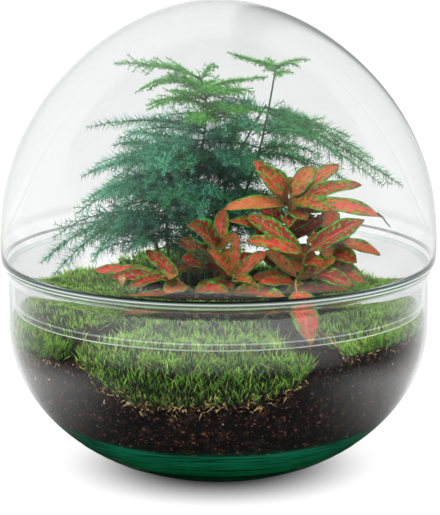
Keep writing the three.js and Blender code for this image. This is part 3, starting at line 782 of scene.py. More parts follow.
# %% Moss cushions
CUSHIONS = [
    {"name": "moss_front", "from": -130, "to": -66, "inner": 76, "top": 105, "hump": 0},
    {"name": "moss_right", "from": -54, "to": 14, "inner": 88, "top": 106, "hump": 0},
    {"name": "moss_back_right", "from": 17, "to": 74, "inner": 74, "top": 109, "hump": 3},
    {"name": "moss_back", "from": 77, "to": 131, "inner": 64, "top": 113, "hump": 7},
    {"name": "moss_left", "from": 134, "to": 223, "inner": 60, "top": 112, "hump": 3},
]
MOSS_EDGE_Z = 98
MOSS_REACH = 131
BLADES_PER_CM2 = 34
SIDE_BLADES_PER_CM2 = 54.4
SIDE_HEIGHT = 30
LITTER_PER_RADIAN = 420
STRAWS_PER_RADIAN = 90
slab_shape = unit_slab(48, 30)
blades = [spike(bend) for bend in (0.15, 0.4, 0.65, -0.3)]


def moss_height(cushion, radius, share):
    middle = np.sin(np.pi * share)
    drop = 5 * (1 - ease(np.minimum(share, 1 - share), 0, 0.12))
    full = cushion["top"] + cushion["hump"] * middle - drop
    rise = ease(radius, cushion["inner"], cushion["inner"] + 16)
    inner = mix(SOIL_TOP_Z + 1, full, mix(0.2, 1, rise))
    return mix(inner, MOSS_EDGE_Z - drop, ease(radius, 112, 126))


def lumps(places):
    """Low waves, so that a cushion isn't an even roll."""
    x, y = places[:, 0], places[:, 1]
    return 1.5 * (np.sin(x / 4.1 + 1) * np.sin(y / 3.7) + 0.7 * np.sin(x / 2.3 + y / 5.1))


def moss_body(cushion):
    u, v, w = slab_shape.points.T
    share = (u + 1) / 2
    turn = mix(cushion["from"], cushion["to"], share)
    outer = bowl_inside(soil_at_glass(turn)) - 4.5
    radius = mix(outer, cushion["inner"] + 3 * np.sin(share * 14), (v + 1) / 2)
    ground = soil_height(radius, turn) + 0.3
    above = moss_height(cushion, radius, share) - 3 + lumps(polar(radius, turn, 0))
    above = np.maximum(above, ground + 0.6)
    return slab_shape.moved(polar(radius, turn, np.where(w > 0, above, ground)))


def risen(turn, outward, stray):
    """Directions that rise, lean outwards and stray from that."""
    n = len(turn)
    out = polar(np.ones(n), turn, 0) * np.reshape(outward, (-1, 1))
    return UP + out + stray * rng.normal(size=(n, 3)) * [1, 1, 0.2]


def grow(pile, places, directions, lengths, age=0.0, reach=1.0):
    """Moss leaves. The age is 0 when green and 1 when dry, and the reach is how far a leaf's
    colour runs from its root's to its tip's."""
    n = len(places)
    kind = rng.integers(0, len(blades), n)
    tone, width, spin = rng.random(n), 0.85 + 0.65 * rng.random(n), rng.random(n) * FULL_TURN
    for k, blade in enumerate(blades):
        pick = kind == k
        turns = aimed(places[pick], directions[pick], lengths[pick], width[pick], spin[pick])
        pile.add(blade, turns, tone=tone[pick], along=blade.points[None, :, 2] * reach, age=age)


def top_leaves(pile, cushion, span):
    """Leaves all over the cushion, short of the glass."""
    area = span / 2 * (MOSS_REACH**2 - cushion["inner"] ** 2) / 100
    share = rng.random(int(area * BLADES_PER_CM2))
    n = len(share)
    turn = mix(cushion["from"], cushion["to"], share)
    radius = np.sqrt(mix((cushion["inner"] - 2) ** 2, (MOSS_REACH - 0.5) ** 2, rng.random(n)))
    top = moss_height(cushion, radius, share) + lumps(polar(radius, turn, 0))
    length = 6 + 6 * rng.random(n)
    base = np.maximum(top - length * 0.75, soil_height(radius, turn) + 0.2)
    base = np.where(radius > 121, np.minimum(base, MOSS_EDGE_Z - 4.5), base)
    inward = 0.4 * ease(radius, cushion["inner"] + 8, cushion["inner"])
    directions = risen(turn, 0.35 * ease(radius, 108, 130) - inward, 0.55)
    grow(pile, polar(radius, turn, base), directions, length)


def side_leaves(pile, cushion, span):
    """Leaves pressed against the glass, then dry litter at their foot, then straws."""
    def turns(per_radian):
        return mix(cushion["from"], cushion["to"], rng.random(int(span * per_radian)))

    turn = turns(MOSS_REACH * SIDE_HEIGHT / 100 * SIDE_BLADES_PER_CM2)
    n = len(turn)
    z = mix(soil_at_glass(turn) - 1, MOSS_EDGE_Z - 4, rng.random(n))
    places = at_glass(turn, z, 1.2 + 3 * rng.random(n))
    grow(pile, places, risen(turn, 0.15, 0.5), 5 + 8 * rng.random(n), reach=0.7)
    turn = turns(LITTER_PER_RADIAN)
    n = len(turn)
    z = soil_at_glass(turn) - 3 + 12 * rng.random(n) ** 1.7
    places = at_glass(turn, z, 1.0 + 2.5 * rng.random(n))
    grow(pile, places, rng.normal(size=(n, 3)), 2.5 + 4 * rng.random(n), age=1.0)
    turn = turns(STRAWS_PER_RADIAN)
    n = len(turn)
    places = at_glass(turn, mix(soil_at_glass(turn), MOSS_EDGE_Z, rng.random(n)), 1.5)
    grow(pile, places, risen(turn, 0, 0.9), 8 + 7 * rng.random(n), age=0.5)


moss_material = moss_finish()
for cushion in CUSHIONS:
    name = cushion["name"]
    span = math.radians(cushion["to"] - cushion["from"])
    rng = np.random.default_rng(len(name) * 7 + cushion["top"])
    pile = Pile()
    pile.add(moss_body(cushion), tone=0.3)
    top_leaves(pile, cushion, span)
    side_leaves(pile, cushion, span)
    pile.piece(name + "_tufts", [moss_material], "moss", name, inside_bowl)

# %% [markdown]
# ## The asparagus fern
# An asparagus fern has no flat leaves. Thin canes carry flat sprays, and every twig of a spray is
# set with whorls of needles. The old, low sprays have long blue-green needles, and the new growth
# on top has short bright ones. The sprays start and end where the model's do, and lesser plumes
# beside them and round the canes make the growth thick. Painted shade darkens the colour towards
# the plant's heart. The needles of a twig are alike, and the next twig is lighter or darker.

# %% Fern finish
FERN_HEART = (-14 * MM, 0, 162 * MM)
HEART_SHADE_CORE = 24 * MM
HEART_SHADE_REACH = 62 * MM


def fern_finish():
    fern = Finish("fern_needles")
    where = fern.place()
    tone = fern.mark("tone")
    cloud = fern.noise(where, 25.0)
    new = fern.blend("2C8430", "7CD45A", tone)
    old = fern.blend("24785E", "7CE0B4", tone)
    old = fern.blend(old, "3E9C48", cloud.ramp(0.5, 0.7) * 0.7)
    old = fern.blend(old, "4AA452", fern.axis(where, 0).ramp(0, 50 * MM) * 0.75)
    colour = fern.blend(new, old, fern.mark("age"))
    colour = fern.blend(colour, "7FB27A", fern.mark("along").ramp(0.7, 1.0) * 0.35)
    # Painted shade: darker towards the plant's heart.
    heart_shade = fern.distance(where, FERN_HEART).ramp(HEART_SHADE_REACH, HEART_SHADE_CORE)
    colour = fern.blend(colour, "143C2C", heart_shade * 0.5)
    return fern.opaque(colour, tone.ramp(0, 1, 0.5, 0.7))


def cane_finish():
    cane = Finish("fern_canes")
    streak = cane.noise(cane.place(), 6.0, 3.0)
    colour = cane.blend("3F7A3C", "2C5B33", streak)
    colour = cane.blend(colour, "5A5A35", streak.ramp(0.55, 0.75))
    return cane.opaque(colour, streak.ramp(0, 1, 0.45, 0.65))


# %% The fern's canes
# A cane is its foot, the places it passes through, its short plumes (how many, and from which to
# which share of it) and its sprays. A spray is its root's share of the cane, its tip, its arch and
# its spread to each side. The tops of the first two canes bear the new growth.
NEW_NEEDLE = 3.2
NEW_TWIG_GAP = 2.5
OLD_NEEDLE = 6.8
OLD_TWIG_GAP = 4.8
NEEDLE_WIDTH = 0.46
NEEDLES_PER_WHORL = 4
NEW_GROWTH_Z = 222
NEW_GROWTH_CANES = (1, 2)
CANES = [
    ((-24, 30), [(-16, 28, 160), (-10, 20, 205), (-8, 16, 232), (-12, 12, 250)], (15, 0.5, 0.84), [
        (0.99, (-66, 4, 259), 3, 18), (0.98, (-3, 30, 255), 2, 8), (0.95, (-52, -8, 242), 7, 14),
        (0.94, (31, -2, 251), 1, 14), (0.88, (-30, -20, 245), 2, 10), (0.91, (4, -30, 243), 3, 14),
        (0.9, (-14, 58, 238), 5, 16), (0.76, (-83, -4, 219), 5, 10),
        (0.92, (-40, -14, 250), 4, 12), (0.9, (22, -14, 243), 3, 14),
        (0.86, (-44, -24, 236), 5, 16), (0.84, (12, -34, 232), 4, 14),
        (0.82, (30, -16, 230), 4, 16), (0.8, (-12, -40, 226), 4, 16),
        (0.68, (-58, -22, 219), 2, 14)]),
    ((-8, 26), [(8, 22, 150), (24, 17, 192), (31, 14, 222), (37, 12, 257)], (2, 0.45, 0.7), [
        (0.995, (6, 2, 266), -1, 9), (0.99, (58, 6, 261), 2, 9), (0.965, (47, -6, 254), 1, 6),
        (0.975, (26, 36, 256), 1, 8), (0.74, (64, -14, 212), 2, 14),
        (0.66, (66, -6, 200), 5, 16)]),
    ((-13, 41), [(0, 40, 160), (18, 33, 205), (31, 27, 229)], (2, 0.5, 0.8), [
        (0.99, (118, 4, 180), 2, 20), (0.96, (0, 10, 236), 3, 12), (0.99, (98, -4, 199), 3, 18),
        (0.96, (84, 8, 211), 3, 16), (0.86, (62, 60, 200), 7, 18), (0.7, (84, 34, 178), 8, 20),
        (0.5, (52, 40, 152), 6, 18), (0.42, (36, 44, 134), 5, 18)]),
    ((-19, 19), [(-10, 20, 150), (7, 21, 200), (13, 20, 228)], (10, 0.5, 0.95), [
        (0.98, (20, -6, 236), 2, 10), (0.88, (16, -26, 224), 4, 14), (0.72, (20, -30, 196), 6, 16),
        (0.64, (6, 84, 184), 9, 22), (0.5, (44, 22, 166), 5, 18), (0.42, (40, 18, 138), 5, 18),
        (0.36, (16, 0, 138), 4, 16), (0.55, (62, 14, 158), 4, 16), (0.46, (58, 12, 146), 4, 16)]),
    ((-33, 35), [(-34, 28, 150), (-36, 16, 182), (-30, 8, 204)], (18, 0.5, 0.97), [
        (0.98, (-87, -8, 188), 2, 16), (0.82, (-92, 0, 162), 4, 20), (0.92, (-62, 56, 198), 6, 18),
        (0.62, (-66, 70, 160), 9, 20), (0.9, (-34, -50, 197), 6, 18),
        (0.72, (-64, -40, 172), 8, 18)]),
    ((-37, 22), [(-42, 14, 145), (-50, 4, 165)], (6, 0.5, 0.97), [
        (0.98, (-114, -4, 131), 7, 18), (0.92, (-80, -24, 136), 6, 12),
        (0.78, (-52, -40, 145), 5, 12), (0.6, (-84, 46, 138), 7, 16)]),
    ((-26, 11), [(-22, 4, 150), (-20, -6, 180)], (17, 0.5, 0.97), [
        (0.98, (-34, -52, 176), 6, 16), (0.92, (2, -42, 180), 6, 14),
        (0.76, (-16, -40, 160), 5, 12)]),
    ((-16, 52), [(-10, 58, 150), (-4, 66, 188)], (5, 0.5, 0.97), [
        (0.98, (-36, 102, 168), 8, 18), (0.94, (40, 102, 166), 8, 18)]),
]
OPEN_CANES = (2, 3)
ROOT_DEPTH = 8.7
GOLDEN_ANGLE = 137.5
needle_shape = spike(0.12, cuts=())


def rooted(foot, upright, through):
    """A stem's line: from below the ground, straight up for a little, and on through places."""
    x, y = foot
    ground = float(soil_height(np.hypot(x, y), np.degrees(np.arctan2(y, x))))
    start = [(x, y, ground - ROOT_DEPTH), (x, y, ground), (x, y, ground + upright)]
    return smooth_line(start + through)


def set_needles(pile, line, size, age, start, step, shade):
    """Whorls of needles along a line. The shade, from 0 to 1, is its brightness among others."""
    count = max(2, int(line.length * (1 - start) / step))
    share = np.repeat(np.linspace(start, 1, count), NEEDLES_PER_WHORL)
    n = len(share)
    share = np.clip(share + 0.3 / count * rng.normal(size=n), 0, 1)
    along = line.along(share)
    side = unit(np.cross(UP, along))
    over = np.cross(along, side)
    around = np.tile([0.0, np.pi, np.pi / 2, -np.pi / 2], count) + 0.7 * rng.normal(size=n)
    out = side * np.cos(around)[:, None] + over * np.sin(around)[:, None]
    directions = out + along * (0.45 + 0.35 * rng.random(n))[:, None]
    shorter = 1 - 0.5 * ease(share, 0.8, 1.0)
    lengths = size * (0.8 + 0.45 * rng.random(n)) * shorter
    widths = NEEDLE_WIDTH + 0.16 * rng.random(n)
    turns = aimed(line.at(share), directions, lengths, widths, rng.random(n) * 6)
    tone = mix(shade, rng.random(n), 0.4)
    pile.add(needle_shape, turns, tone=tone, along=needle_shape.points[None, :, 2], age=age)


def add_spray(pile, wood, root, tip, arch, spread, size, roll):
    """A flat plume: its axis, side twigs left and right, and needles on all of them. The roll
    turns the plume about its axis."""
    age, every = (0.0, NEW_TWIG_GAP) if size == NEW_NEEDLE else (1.0, OLD_TWIG_GAP)

    def set_twig(line, thick, thin, needle, start, step):
        wood.append(tapered(line.points, thick, thin))
        shade = len(wood) * 0.618 % 1
        set_needles(pile, line, needle, age, start, step + 0.3 * age, shade)

    axis = arched(root, tip, arch, 6)
    set_twig(axis, 0.5, 0.2, size, 0.1, 1.4)
    for k, s in enumerate(np.arange(0.07, 0.93, every / axis.length)):
        reach = spread * (1 - 0.75 * s) * ease(s, -0.1, 0.12) * (0.75 + 0.4 * rng.random())
        if reach < size * 0.9:
            continue
        along = axis.along(s)
        side = unit(np.cross(UP, along))
        side = side * math.cos(roll) + np.cross(along, side) * math.sin(roll)
        start = axis.at(s)
        sign = 1 if k % 2 == 0 else -1
        droop = 0.12 + 0.2 * rng.normal()
        end = start + sign * side * reach * 0.8 + along * reach * 0.65 - UP * reach * droop
        set_twig(arched(start, end, reach * 0.06, 3), 0.24, 0.12, size * 0.9, 0.08, 1.7)


def companions(root, tip, apart):
    """Places for two lesser plumes beside one, so that the growth is thick."""
    chord = tip - root
    side = unit(np.cross(UP, chord))
    for sign in (-1, 1):
        shift = side * sign * (0.7 + 0.6 * rng.random()) + UP * rng.normal(0, 0.4)
        start = root - UP * apart / 3 * rng.random()
        yield start, root + chord * (0.7 + 0.2 * rng.random()) + shift * apart


def fillers(stem, count, low, high):
    """Places for short plumes all round a cane. None stands before the nerve plant."""
    for k in range(count):
        root = stem.at(mix(low, high, (k + rng.random()) / count))
        reach, azimuth = 34 + 24 * rng.random(), GOLDEN_ANGLE * k + 40 * rng.random()
        tip = root + polar(reach, azimuth, -3 - 13 * rng.random())
        if tip[0] > -8 and tip[1] < 6:
            tip[1] = 2 * root[1] - tip[1]
        yield root, tip


def inside_glass(points):
    """Points that would reach the dome or its neck are drawn back inside it."""
    z = points[:, 2]
    t = np.clip((z - DOME_WIDEST_Z) / (TOTAL_HEIGHT - WALL - DOME_WIDEST_Z), 0, 1)
    dome = (DOME_RADIUS - WALL) * np.sqrt(1 - t * t) * (1 - DOME_EGG * t**3)
    return drawn_in(points, np.where(z > 140, dome, NECK_RADIUS - WALL) - 1)


fern_materials = [fern_finish(), cane_finish()]
for number, (foot, through, short, sprays) in enumerate(CANES, 1):
    rng = np.random.default_rng(99 + number)
    stem = rooted(foot, 10, through)
    wood = [tapered(stem.at(np.linspace(0, 1, 30)), 1.1, 0.5)]
    pile = Pile()
    for share, tip, arch, spread in sprays:
        new = number in NEW_GROWTH_CANES and tip[2] > NEW_GROWTH_Z
        size, apart, roll = (NEW_NEEDLE, 5, 0.15) if new else (OLD_NEEDLE, 14, 0.6)
        root, tip = stem.at(share), np.array(tip, float)
        add_spray(pile, wood, root, tip, arch, spread, size, 0.25 * rng.normal())
        beside = 1 if new or number in OPEN_CANES else 2
        for start, end in list(companions(root, tip, apart))[:beside]:
            add_spray(pile, wood, start, end, arch + 1, spread * 0.85, size, roll * rng.normal())
    for start, end in fillers(stem, *short):
        add_spray(pile, wood, start, end, 4, 16, OLD_NEEDLE, 0.7 * rng.normal())
    pile.add(tubes(wood), slot=1)
    name = f"fern_cane_{number}"
    pile.piece(name + "_grown", fern_materials, "fern", name, inside_glass)

# %% [markdown]
# ## The nerve plant
# A nerve plant's leaf is coral red with a green margin, and green islands lie between its net of
# veins. Each leaf is one thin slab, shaped along a curved midrib: its halves fold up a little, its
# edge waves, and the blade swells between the side veins. The mark "tone" is a leaf's colour, from
# dark red to a pale coral, drawn at random. The small leaves inside the plant are given the dark
# red as painted shade.

# %% Leaf finish
SIDE_VEINS = 44.0
VEIN_SLANT = 9.0


def leaf_finish():
    leaf = Finish("nerve_leaf")
    across, along, tone = leaf.mark("across"), leaf.mark("along"), leaf.mark("tone")
    out = abs(across)
    wobble = leaf.noise(leaf.place(), 3.0)
    net = leaf.node("CombineXYZ", {}, {0: along * 12.0 - out * 2.4, 1: across * 2.1, 2: tone * 40.0})
    sockets = {"Vector": net, "Scale": 1.0, "Randomness": 0.7}
    cells = leaf.node("TexVoronoi", {"feature": "DISTANCE_TO_EDGE"}, sockets)
    veins = leaf.node("Math", {"operation": "SINE"}, {0: along * SIDE_VEINS - out * VEIN_SLANT})
    coral = leaf.blend("A01A0E", "CC3E2E", wobble.ramp(0.35, 0.65))
    coral = leaf.blend(coral, "DC6A52", tone.ramp(0.45, 0.9) * 0.5)
    # A low tone darkens the red; the leaves inside the plant get it as painted shade.
    coral = leaf.blend(coral, "74140F", tone.ramp(0.4, 0.1) * 0.7)
    olive = leaf.blend(coral, "8C8A2C", (tone.ramp(0.75, 1.0) + along.ramp(0.2, 0.07)) * 0.6)
    coral = leaf.blend(coral, olive, wobble.ramp(0.3, 0.6))
    green = leaf.blend("1C5E16", "56A42C", wobble.ramp(0.3, 0.7))
    spots = (cells + out * 0.05 - abs(tone - 0.5) * 0.16).ramp(0.13, 0.19)
    margin = (out + wobble * 0.25 + along.ramp(0.9, 1.0) * 0.1).ramp(0.9, 1.0)
    colour = leaf.blend(coral, green, spots * out.ramp(0.08, 0.2))
    colour = leaf.blend(colour, "DA6050", out.ramp(0.1, 0.02) * 0.6)
    colour = leaf.blend(colour, green, margin)
    colour = leaf.blend(colour, "804240", leaf.mark("under") * 0.7)
    relief = leaf.bump(cells.ramp(0.0, 0.3) + veins * 0.3, 0.25)
    return leaf.opaque(colour, wobble.ramp(0, 1, 0.35, 0.5), Normal=relief)


def sap_stem_finish():
    stem = Finish("nerve_stem")
    streak = stem.noise(stem.place(), 5.0)
    colour = stem.blend("7A8C3A", "A8683F", streak.ramp(0.4, 0.7))
    colour = stem.blend("2E4A3E", colour, stem.mark("tone"))
    return stem.opaque(colour, streak.ramp(0, 1, 0.4, 0.6))


# %% The nerve plant's stems
# A stem is its name, its foot, the places it passes through and its leaves. A leaf is its root's
# share of the stem, its tip, its width and its arch.
NERVE_STEMS = [
    ("nerve_plant_front", (30, -38), [(43, -54, 122), (51, -62, 136), (54, -67, 152)], [
        (0.97, (90, -60, 170), 12, 0.06), (0.96, (17, -74, 160), 10, 0.08),
        (0.93, (17, -46, 170), 11.5, 0.1), (0.97, (60, -84, 166), 8, 0.05),
        (0.68, (73, -70, 148), 9, 0.08), (0.66, (24, -80, 134), 7.5, 0.06),
        (0.78, (83, -78, 131), 10.5, 0.12), (0.7, (29, -50, 149), 8, 0.08),
        (0.48, (82, -72, 126), 9, 0.08)]),
    ("nerve_plant_top", (34, -22), [(39, -24, 140), (44, -28, 165), (46, -30, 181)], [
        (0.98, (25, -38, 199), 10, 0.1), (0.88, (22, -14, 200), 10, 0.06),
        (0.96, (60, -22, 197), 11, 0.08), (0.9, (47, -50, 194), 9.5, 0.1),
        (0.95, (77, -8, 195), 10, 0.1), (0.92, (90, -28, 186), 9, 0.12),
        (0.82, (102, -42, 168), 10.5, 0.2), (0.93, (70, -52, 174), 10, 0.1),
        (0.9, (3, -46, 174), 9.5, 0.1), (0.78, (43, -54, 164), 9, 0.12),
        (0.62, (5, -54, 168), 8, 0.1), (0.7, (60, 16, 176), 10, 0.1),
        (0.55, (30, 14, 160), 10, 0.1)]),
    ("nerve_plant_left_front", (5, -40), [(8, -54, 120), (9, -62, 128), (9.5, -66, 137)], [
        (0.97, (11, -66, 163), 6, 0.03), (0.95, (-7, -74, 155), 8, 0.06),
        (0.95, (24, -82, 131), 5.5, 0.14), (0.93, (30, -56, 149), 8, 0.06),
        (0.66, (42, -88, 124), 11, 0.08)]),
    ("nerve_plant_middle", (-1, -20), [(-2, -26, 128), (0, -32, 146)], [
        (0.96, (-19, -52, 166), 16, 0.08), (0.97, (12, -42, 158), 7, 0.08),
        (0.95, (3, -12, 168), 9, 0.06), (0.6, (-13, -60, 153), 10, 0.06),
        (0.75, (-26, -22, 150), 10, 0.08)]),
    ("nerve_plant_low_left", (-14, -34), [(-22, -40, 124), (-34, -44, 131)], [
        (0.9, (-80, -30, 131), 8, 0.08), (0.97, (-56, -62, 127), 7, 0.08),
        (0.6, (-33, -72, 125), 12, 0.08), (0.97, (-68, -48, 130), 8, 0.08),
        (0.72, (-46, -18, 142), 10, 0.08), (0.5, (-60, -76, 118), 7, 0.05)]),
    ("nerve_plant_right", (46, -8), [(56, -12, 126), (66, -16, 140), (71, -18, 150)], [
        (0.98, (72, 4, 165), 11, 0.06), (0.96, (86, -30, 156), 13, 0.08),
        (0.8, (87, -36, 138), 13, 0.1), (0.62, (93, -40, 124), 13, 0.1),
        (0.93, (103, -14, 138), 8, 0.14), (0.7, (84, 18, 136), 10, 0.1),
        (0.9, (52, 0, 157), 11, 0.1), (0.92, (68, 8, 161), 11, 0.1),
        (0.88, (80, 4, 154), 10, 0.08), (0.85, (86, -10, 146), 12, 0.1),
        (0.75, (38, -22, 141), 11, 0.1), (0.6, (44, -36, 132), 12, 0.1)]),
]
# Small leaves inside the plant, dark red as painted shade: the root's share, the tip and the width.
SHADED_LEAVES = {
    "nerve_plant_top": [
        (0.6, (67, -12, 160), 11), (0.55, (24, -8, 153), 11), (0.8, (72, 0, 171), 11),
        (0.75, (26, -20, 169), 10), (0.7, (60, -30, 167), 10)],
    "nerve_plant_right": [(0.4, (28, 0, 137), 14), (0.5, (36, 8, 148), 12)],
    "nerve_plant_middle": [(0.5, (22, -14, 139), 11), (0.7, (-24, -34, 140), 11)],
}
# The dark tendril, the low leaf that hangs before the front moss, and a scrap of dry leaf.
TENDRIL = [(99, -42, 171), (102.5, -41.5, 168), (104.5, -41, 165), (107.5, -40, 161.5)]
LOW_LEAF = (0.66, (47, -86, 132.5), (55.5, -107, 103))
DRY_SCRAP = ((-59, -54, 134), (-61, -56, 127))
STALK_SHARE = 0.14
LEAF_THICKNESS = 0.35
FACING = np.array([0.05, -0.7, 0.71])
leaf_slab = unit_slab(10, 22)


def add_leaf(pile, wood, root, tip, width, arch, slot=0, tone=None):
    """A leaf from its root to its tip. Its upper side is turned as far as it can be to FACING."""
    root, tip = np.array(root, float), np.array(tip, float)
    length = np.linalg.norm(tip - root)
    along = (tip - root) / length
    over = unit(FACING - along * FACING.dot(along))
    across = np.cross(over, along)
    middle = (root + tip) / 2 + over * 2 * arch * length
    u, v, w = leaf_slab.points.T
    s = mix(0.07, 1.0, (v + 1) / 2)
    rib = bow(root, middle, tip, s)
    run = np.outer(1 - s, middle - root) + np.outer(s, tip - middle)
    normal = unit(np.cross(run, across))
    t = np.clip((s - 0.06) / 0.945, 0, 1) ** 0.95
    half = np.maximum(width / 2 * 1.12 * (1 - np.abs(2 * t - 1) ** 2.9), 0.12)
    fold = (0.2 + 0.25 * rng.random()) * half * np.abs(u) ** 1.3
    wave = 0.07 * width * np.sin(s * 15 + rng.random() * 6) * u * np.abs(u)
    quilt = 0.2 * np.sin(s * SIDE_VEINS - np.abs(u) * VEIN_SLANT) * (1 - u * u)
    lift = fold + wave + quilt + w * LEAF_THICKNESS / 2
    points = rib + across * (u * half)[:, None] + normal * lift[:, None]
    marks = {"across": u[None], "along": s[None], "under": (w < 0)[None]}
    tone = rng.random() if tone is None else tone
    pile.add(leaf_slab.moved(points), slot=slot, tone=tone, **marks)
    stalk = bow(root, middle, tip, np.linspace(0, STALK_SHARE, 4))
    wood.append(tapered(stalk, 0.8, 0.45))


leaf_materials = [leaf_finish(), sap_stem_finish(), dry_finish()]
for number, (name, foot, through, leaves) in enumerate(NERVE_STEMS):
    rng = np.random.default_rng(200 + number)
    stem = rooted(foot, 5, through)
    shares = np.linspace(0, 1, 24)
    knuckles = 0.25 * np.maximum(0, np.sin(shares * 38)) ** 6
    wood = [(stem.at(shares), mix(1.5, 1.0, shares) + knuckles)]
    pile = Pile(("tone", "along", "across", "under"))
    for share, tip, width, arch in leaves:
        add_leaf(pile, wood, stem.at(share), tip, width, arch)
    for k in range(3):
        root = stem.at(0.45 + 0.2 * k)
        tip = root + polar(22 + 8 * rng.random(), 120 * k + 60 * rng.random(), 8 * rng.random() - 2)
        add_leaf(pile, wood, root, tip, 8 + 3 * rng.random(), 0.12)
    if name == "nerve_plant_top":
        tendril = tapered(smooth_line(TENDRIL).points, 0.6, 0.3)
        pile.add(tubes([tendril], 1), slot=1)
    if name == "nerve_plant_front":
        share, root, tip = LOW_LEAF
        add_leaf(pile, wood, root, tip, 15, 0.08, tone=0.6)
        wood.append(tapered(arched(stem.at(share), np.array(root, float), 3).points, 0.8, 0.8))
    if name == "nerve_plant_low_left":
        add_leaf(pile, wood, *DRY_SCRAP, 4, 0.25, slot=2)
    # Painted shade: these inner leaves get a low tone, so a dark red.
    for share, tip, width in SHADED_LEAVES.get(name, ()):
        add_leaf(pile, wood, stem.at(share), tip, width, 0.1, tone=0.1)
    pile.add(tubes(wood, 2), slot=1, tone=1.0)
    pile.piece(name + "_grown", leaf_materials, "nerve_plant", name)

# %% [markdown]
# ## Floor, light and camera
# The floor and the world are plain white, with a painted soft shadow round the foot. Two large
# lamps light the plants from above and from the left.
#
# Clear glass hardly shows in an all white room. It is seen by what it mirrors, and here that is
# painted reflection: a table's lit edge, windows at both sides, a brighter left, a dark stand at the
# right and a dark room in front, none of them in the scene. So rays that glass has mirrored find a
# brightness set by their place on the floor or their direction in the world. Rays mirrored twice, or
# passed through several walls, find an even one.

# %% What the glass mirrors
SEVERAL_WALLS = (4, 7)
TWICE_LEVEL = 0.3
WALLS_LEVEL = 0.9
LEFT_GLOW = 0.25
STAND_SHADE = 0.6


def ray_kinds(finish):
    """Whether a ray looks straight or through glass, whether glass has mirrored it, whether it
    was mirrored more than once, and whether it has also passed through several walls."""
    passed = finish.ray("Is Transmission Ray")
    depth = finish.ray("Glossy Depth")
    bounced = depth.ramp(0, 1)
    mirror = finish.ray("Is Reflection Ray") - finish.ray("Is Diffuse Ray")
    seen = (finish.ray("Is Camera Ray") + passed) * (1.0 - bounced)
    walls = finish.ray("Transmission Depth").ramp(*SEVERAL_WALLS)
    return seen, (mirror + passed) * bounced, depth.ramp(1, 2), walls


def dark_stand_reflection(side):
    """1 towards the dark stand at the right, a painted reflection only, and 0 elsewhere."""
    return side.band(0.05, 0.12, 0.2, 0.35)


# %% Floor
SHADOW_FORWARD = -0.012
FLOOR_LEVEL = 0.93
TABLE_GLARE = 1.6
DARK_ROOM_REFLECTION = 0.05
WINDOW_REFLECTION_LEVEL = 0.6
FOOT_SHADOW = (0.036, 0.104)
BOWL_SHADOW = (0.24, 0.09)
TABLE_EDGE_REFLECTION = (0.35, 0.62, 0.63, 0.75)
WINDOW_REFLECTION_REACH = (0.45, 0.7, 1.0, 1.4)


def floor_painted_reflection(table, here, away):
    """The floor's painted reflection in the glass, by its direction from the bowl and its distance.
    """
    direction = table.node("VectorMath", {"operation": "NORMALIZE"}, {0: here})
    side, back = table.axis(direction, 0), table.axis(direction, 1)
    beyond = away.ramp(0.2, 0.4)
    front = back.ramp(0.7, -0.2) * beyond + back.ramp(-0.3, -0.9) * (1.0 - beyond)
    edge = away.band(*TABLE_EDGE_REFLECTION) * back.ramp(-0.2, -0.7)
    level = 1.0 + front * (edge * (TABLE_GLARE - DARK_ROOM_REFLECTION) + (DARK_ROOM_REFLECTION - 1.0))
    # Painted shadow: the reflected floor is dark next to the bowl.
    level = level * (1.0 - away.ramp(*BOWL_SHADOW))
    level = level + away.ramp(0.6, 1.2) * side.ramp(0.3, -0.9) * LEFT_GLOW
    window = away.band(*WINDOW_REFLECTION_REACH) * abs(side).ramp(0.55, 0.9)
    level = level.nearing(WINDOW_REFLECTION_LEVEL, window)
    stand = dark_stand_reflection(side) * away.ramp(0.5, 0.9) * back.ramp(0, 0.5)
    return level * (1.0 - stand * STAND_SHADE)


def floor_finish():
    table = Finish("floor_paint")
    seen, mirrored, twice, walls = ray_kinds(table)
    here = table.place()
    away = table.distance(here, (0, SHADOW_FORWARD, 0))
    level = floor_painted_reflection(table, here, away)
    level = level.nearing(TWICE_LEVEL, twice).nearing(WALLS_LEVEL, walls)
    # Seen straight, the floor is mostly glow, and the glow fades round the foot as a painted shadow.
    # Seen in glass, it shows the painted reflection.
    lit = seen * away.ramp(*FOOT_SHADOW) * FLOOR_LEVEL + mirrored * level
    glow = table.blend(grey(0), grey(1), lit * (1 / TABLE_GLARE))
    white = table.blend(grey(0.94), grey(0.15), seen)
    white = table.blend(white, grey(0.02), mirrored)
    others = {"Emission Color": glow, "Emission Strength": TABLE_GLARE}
    return table.opaque(white, 0.9, **others)


floor_bm = bmesh.new()
bmesh.ops.create_grid(floor_bm, x_segments=1, y_segments=1, size=6.0)
floor_mesh = bpy.data.meshes.new("floor")
floor_bm.to_mesh(floor_mesh)
floor_bm.free()
floor_mesh.materials.append(floor_finish())
floor = placed("floor", floor_mesh)
floor.location.z = -0.0002
print("floor:", tuple(round(size, 2) for size in floor.dimensions))

# %% Light
LIGHT_LEVEL = 0.48
MIRROR_FRONT = 0.06
MIRROR_BACK = 1.0


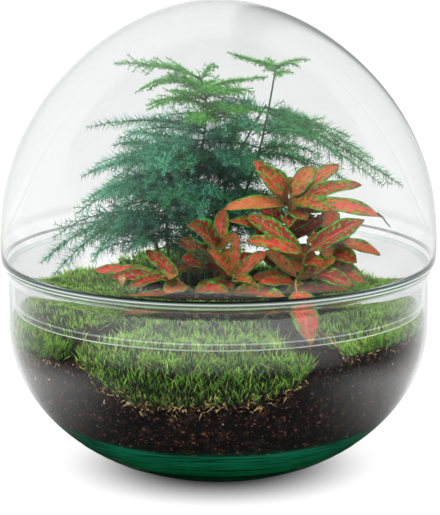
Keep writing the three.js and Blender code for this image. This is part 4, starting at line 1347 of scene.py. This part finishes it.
def world_finish(world):
    sky = Finish("studio", world)
    seen, mirrored, twice, walls = ray_kinds(sky)
    direction = sky.node("TexCoord", {}, {}, "Generated")
    side, back = sky.axis(direction, 0), sky.axis(direction, 1)
    level = back.ramp(-0.9, 0.1, MIRROR_FRONT, MIRROR_BACK)
    level = level * (1.0 - dark_stand_reflection(side) * back.ramp(0, 0.5) * STAND_SHADE)
    level = level + side.ramp(0.3, -0.9) * LEFT_GLOW
    level = level.nearing(TWICE_LEVEL, twice).nearing(WALLS_LEVEL, walls)
    strength = LIGHT_LEVEL + seen * (1 - LIGHT_LEVEL) + mirrored * (level - LIGHT_LEVEL)
    light = sky.node("Background", {}, {"Color": grey(1), "Strength": strength})
    return sky.output(light, "OutputWorld")


def aim_from(thing, place, target):
    thing.location = place
    thing.rotation_euler = (Vector(target) - Vector(place)).to_track_quat("-Z", "Y").to_euler()


def soft_lamp(name, place, target, size, power):
    """A lamp that lights the plants, but isn't seen in the glass."""
    lamp = bpy.data.lights.new(name, "AREA")
    lamp.shape = "RECTANGLE"
    lamp.size, lamp.size_y = size
    lamp.energy = power
    holder = placed(name, lamp)
    aim_from(holder, place, target)
    holder.visible_glossy = holder.visible_transmission = False
    print(name, power, "W")


bpy.context.scene.world = world_finish(bpy.data.worlds.new("studio"))
soft_lamp("lamp_above", (0.1, -0.5, 1.6), (0, 0, 0.1), (1.6, 1.2), 36)
soft_lamp("lamp_left", (-1.3, -0.7, 0.7), (0, 0, 0.15), (0.7, 1.0), 5)

# %% Camera
IMAGE_WIDTH = 440
IMAGE_HEIGHT = 515
MM_PER_PIXEL = 0.6437
DISTANCE = 1.6
ELEVATION = math.radians(11.5)
AXIS_PIXEL = (218.5, 238.7)
AIM_Z = 0.146
SENSOR = 36

back = Vector((0, -math.cos(ELEVATION), math.sin(ELEVATION)))
place = Vector((0, 0, AIM_Z)) + back * DISTANCE
right_off = (IMAGE_WIDTH / 2 - AXIS_PIXEL[0]) * MM_PER_PIXEL * MM
down_off = (IMAGE_HEIGHT / 2 - AXIS_PIXEL[1]) * MM_PER_PIXEL * MM
screen_up = Vector((0, math.sin(ELEVATION), math.cos(ELEVATION)))
aim = Vector((0, 0, AIM_Z)) + Vector((1, 0, 0)) * right_off - screen_up * down_off
camera_data = bpy.data.cameras.new("camera")
camera_data.sensor_width = SENSOR
camera_data.lens = SENSOR * DISTANCE / (IMAGE_HEIGHT * MM_PER_PIXEL * MM)
camera_data.clip_end = 20
camera = placed("camera", camera_data)
aim_from(camera, place, aim)
bpy.context.scene.camera = camera
bpy.context.scene.view_settings.view_transform = "Standard"
print("lens", round(camera_data.lens, 1))
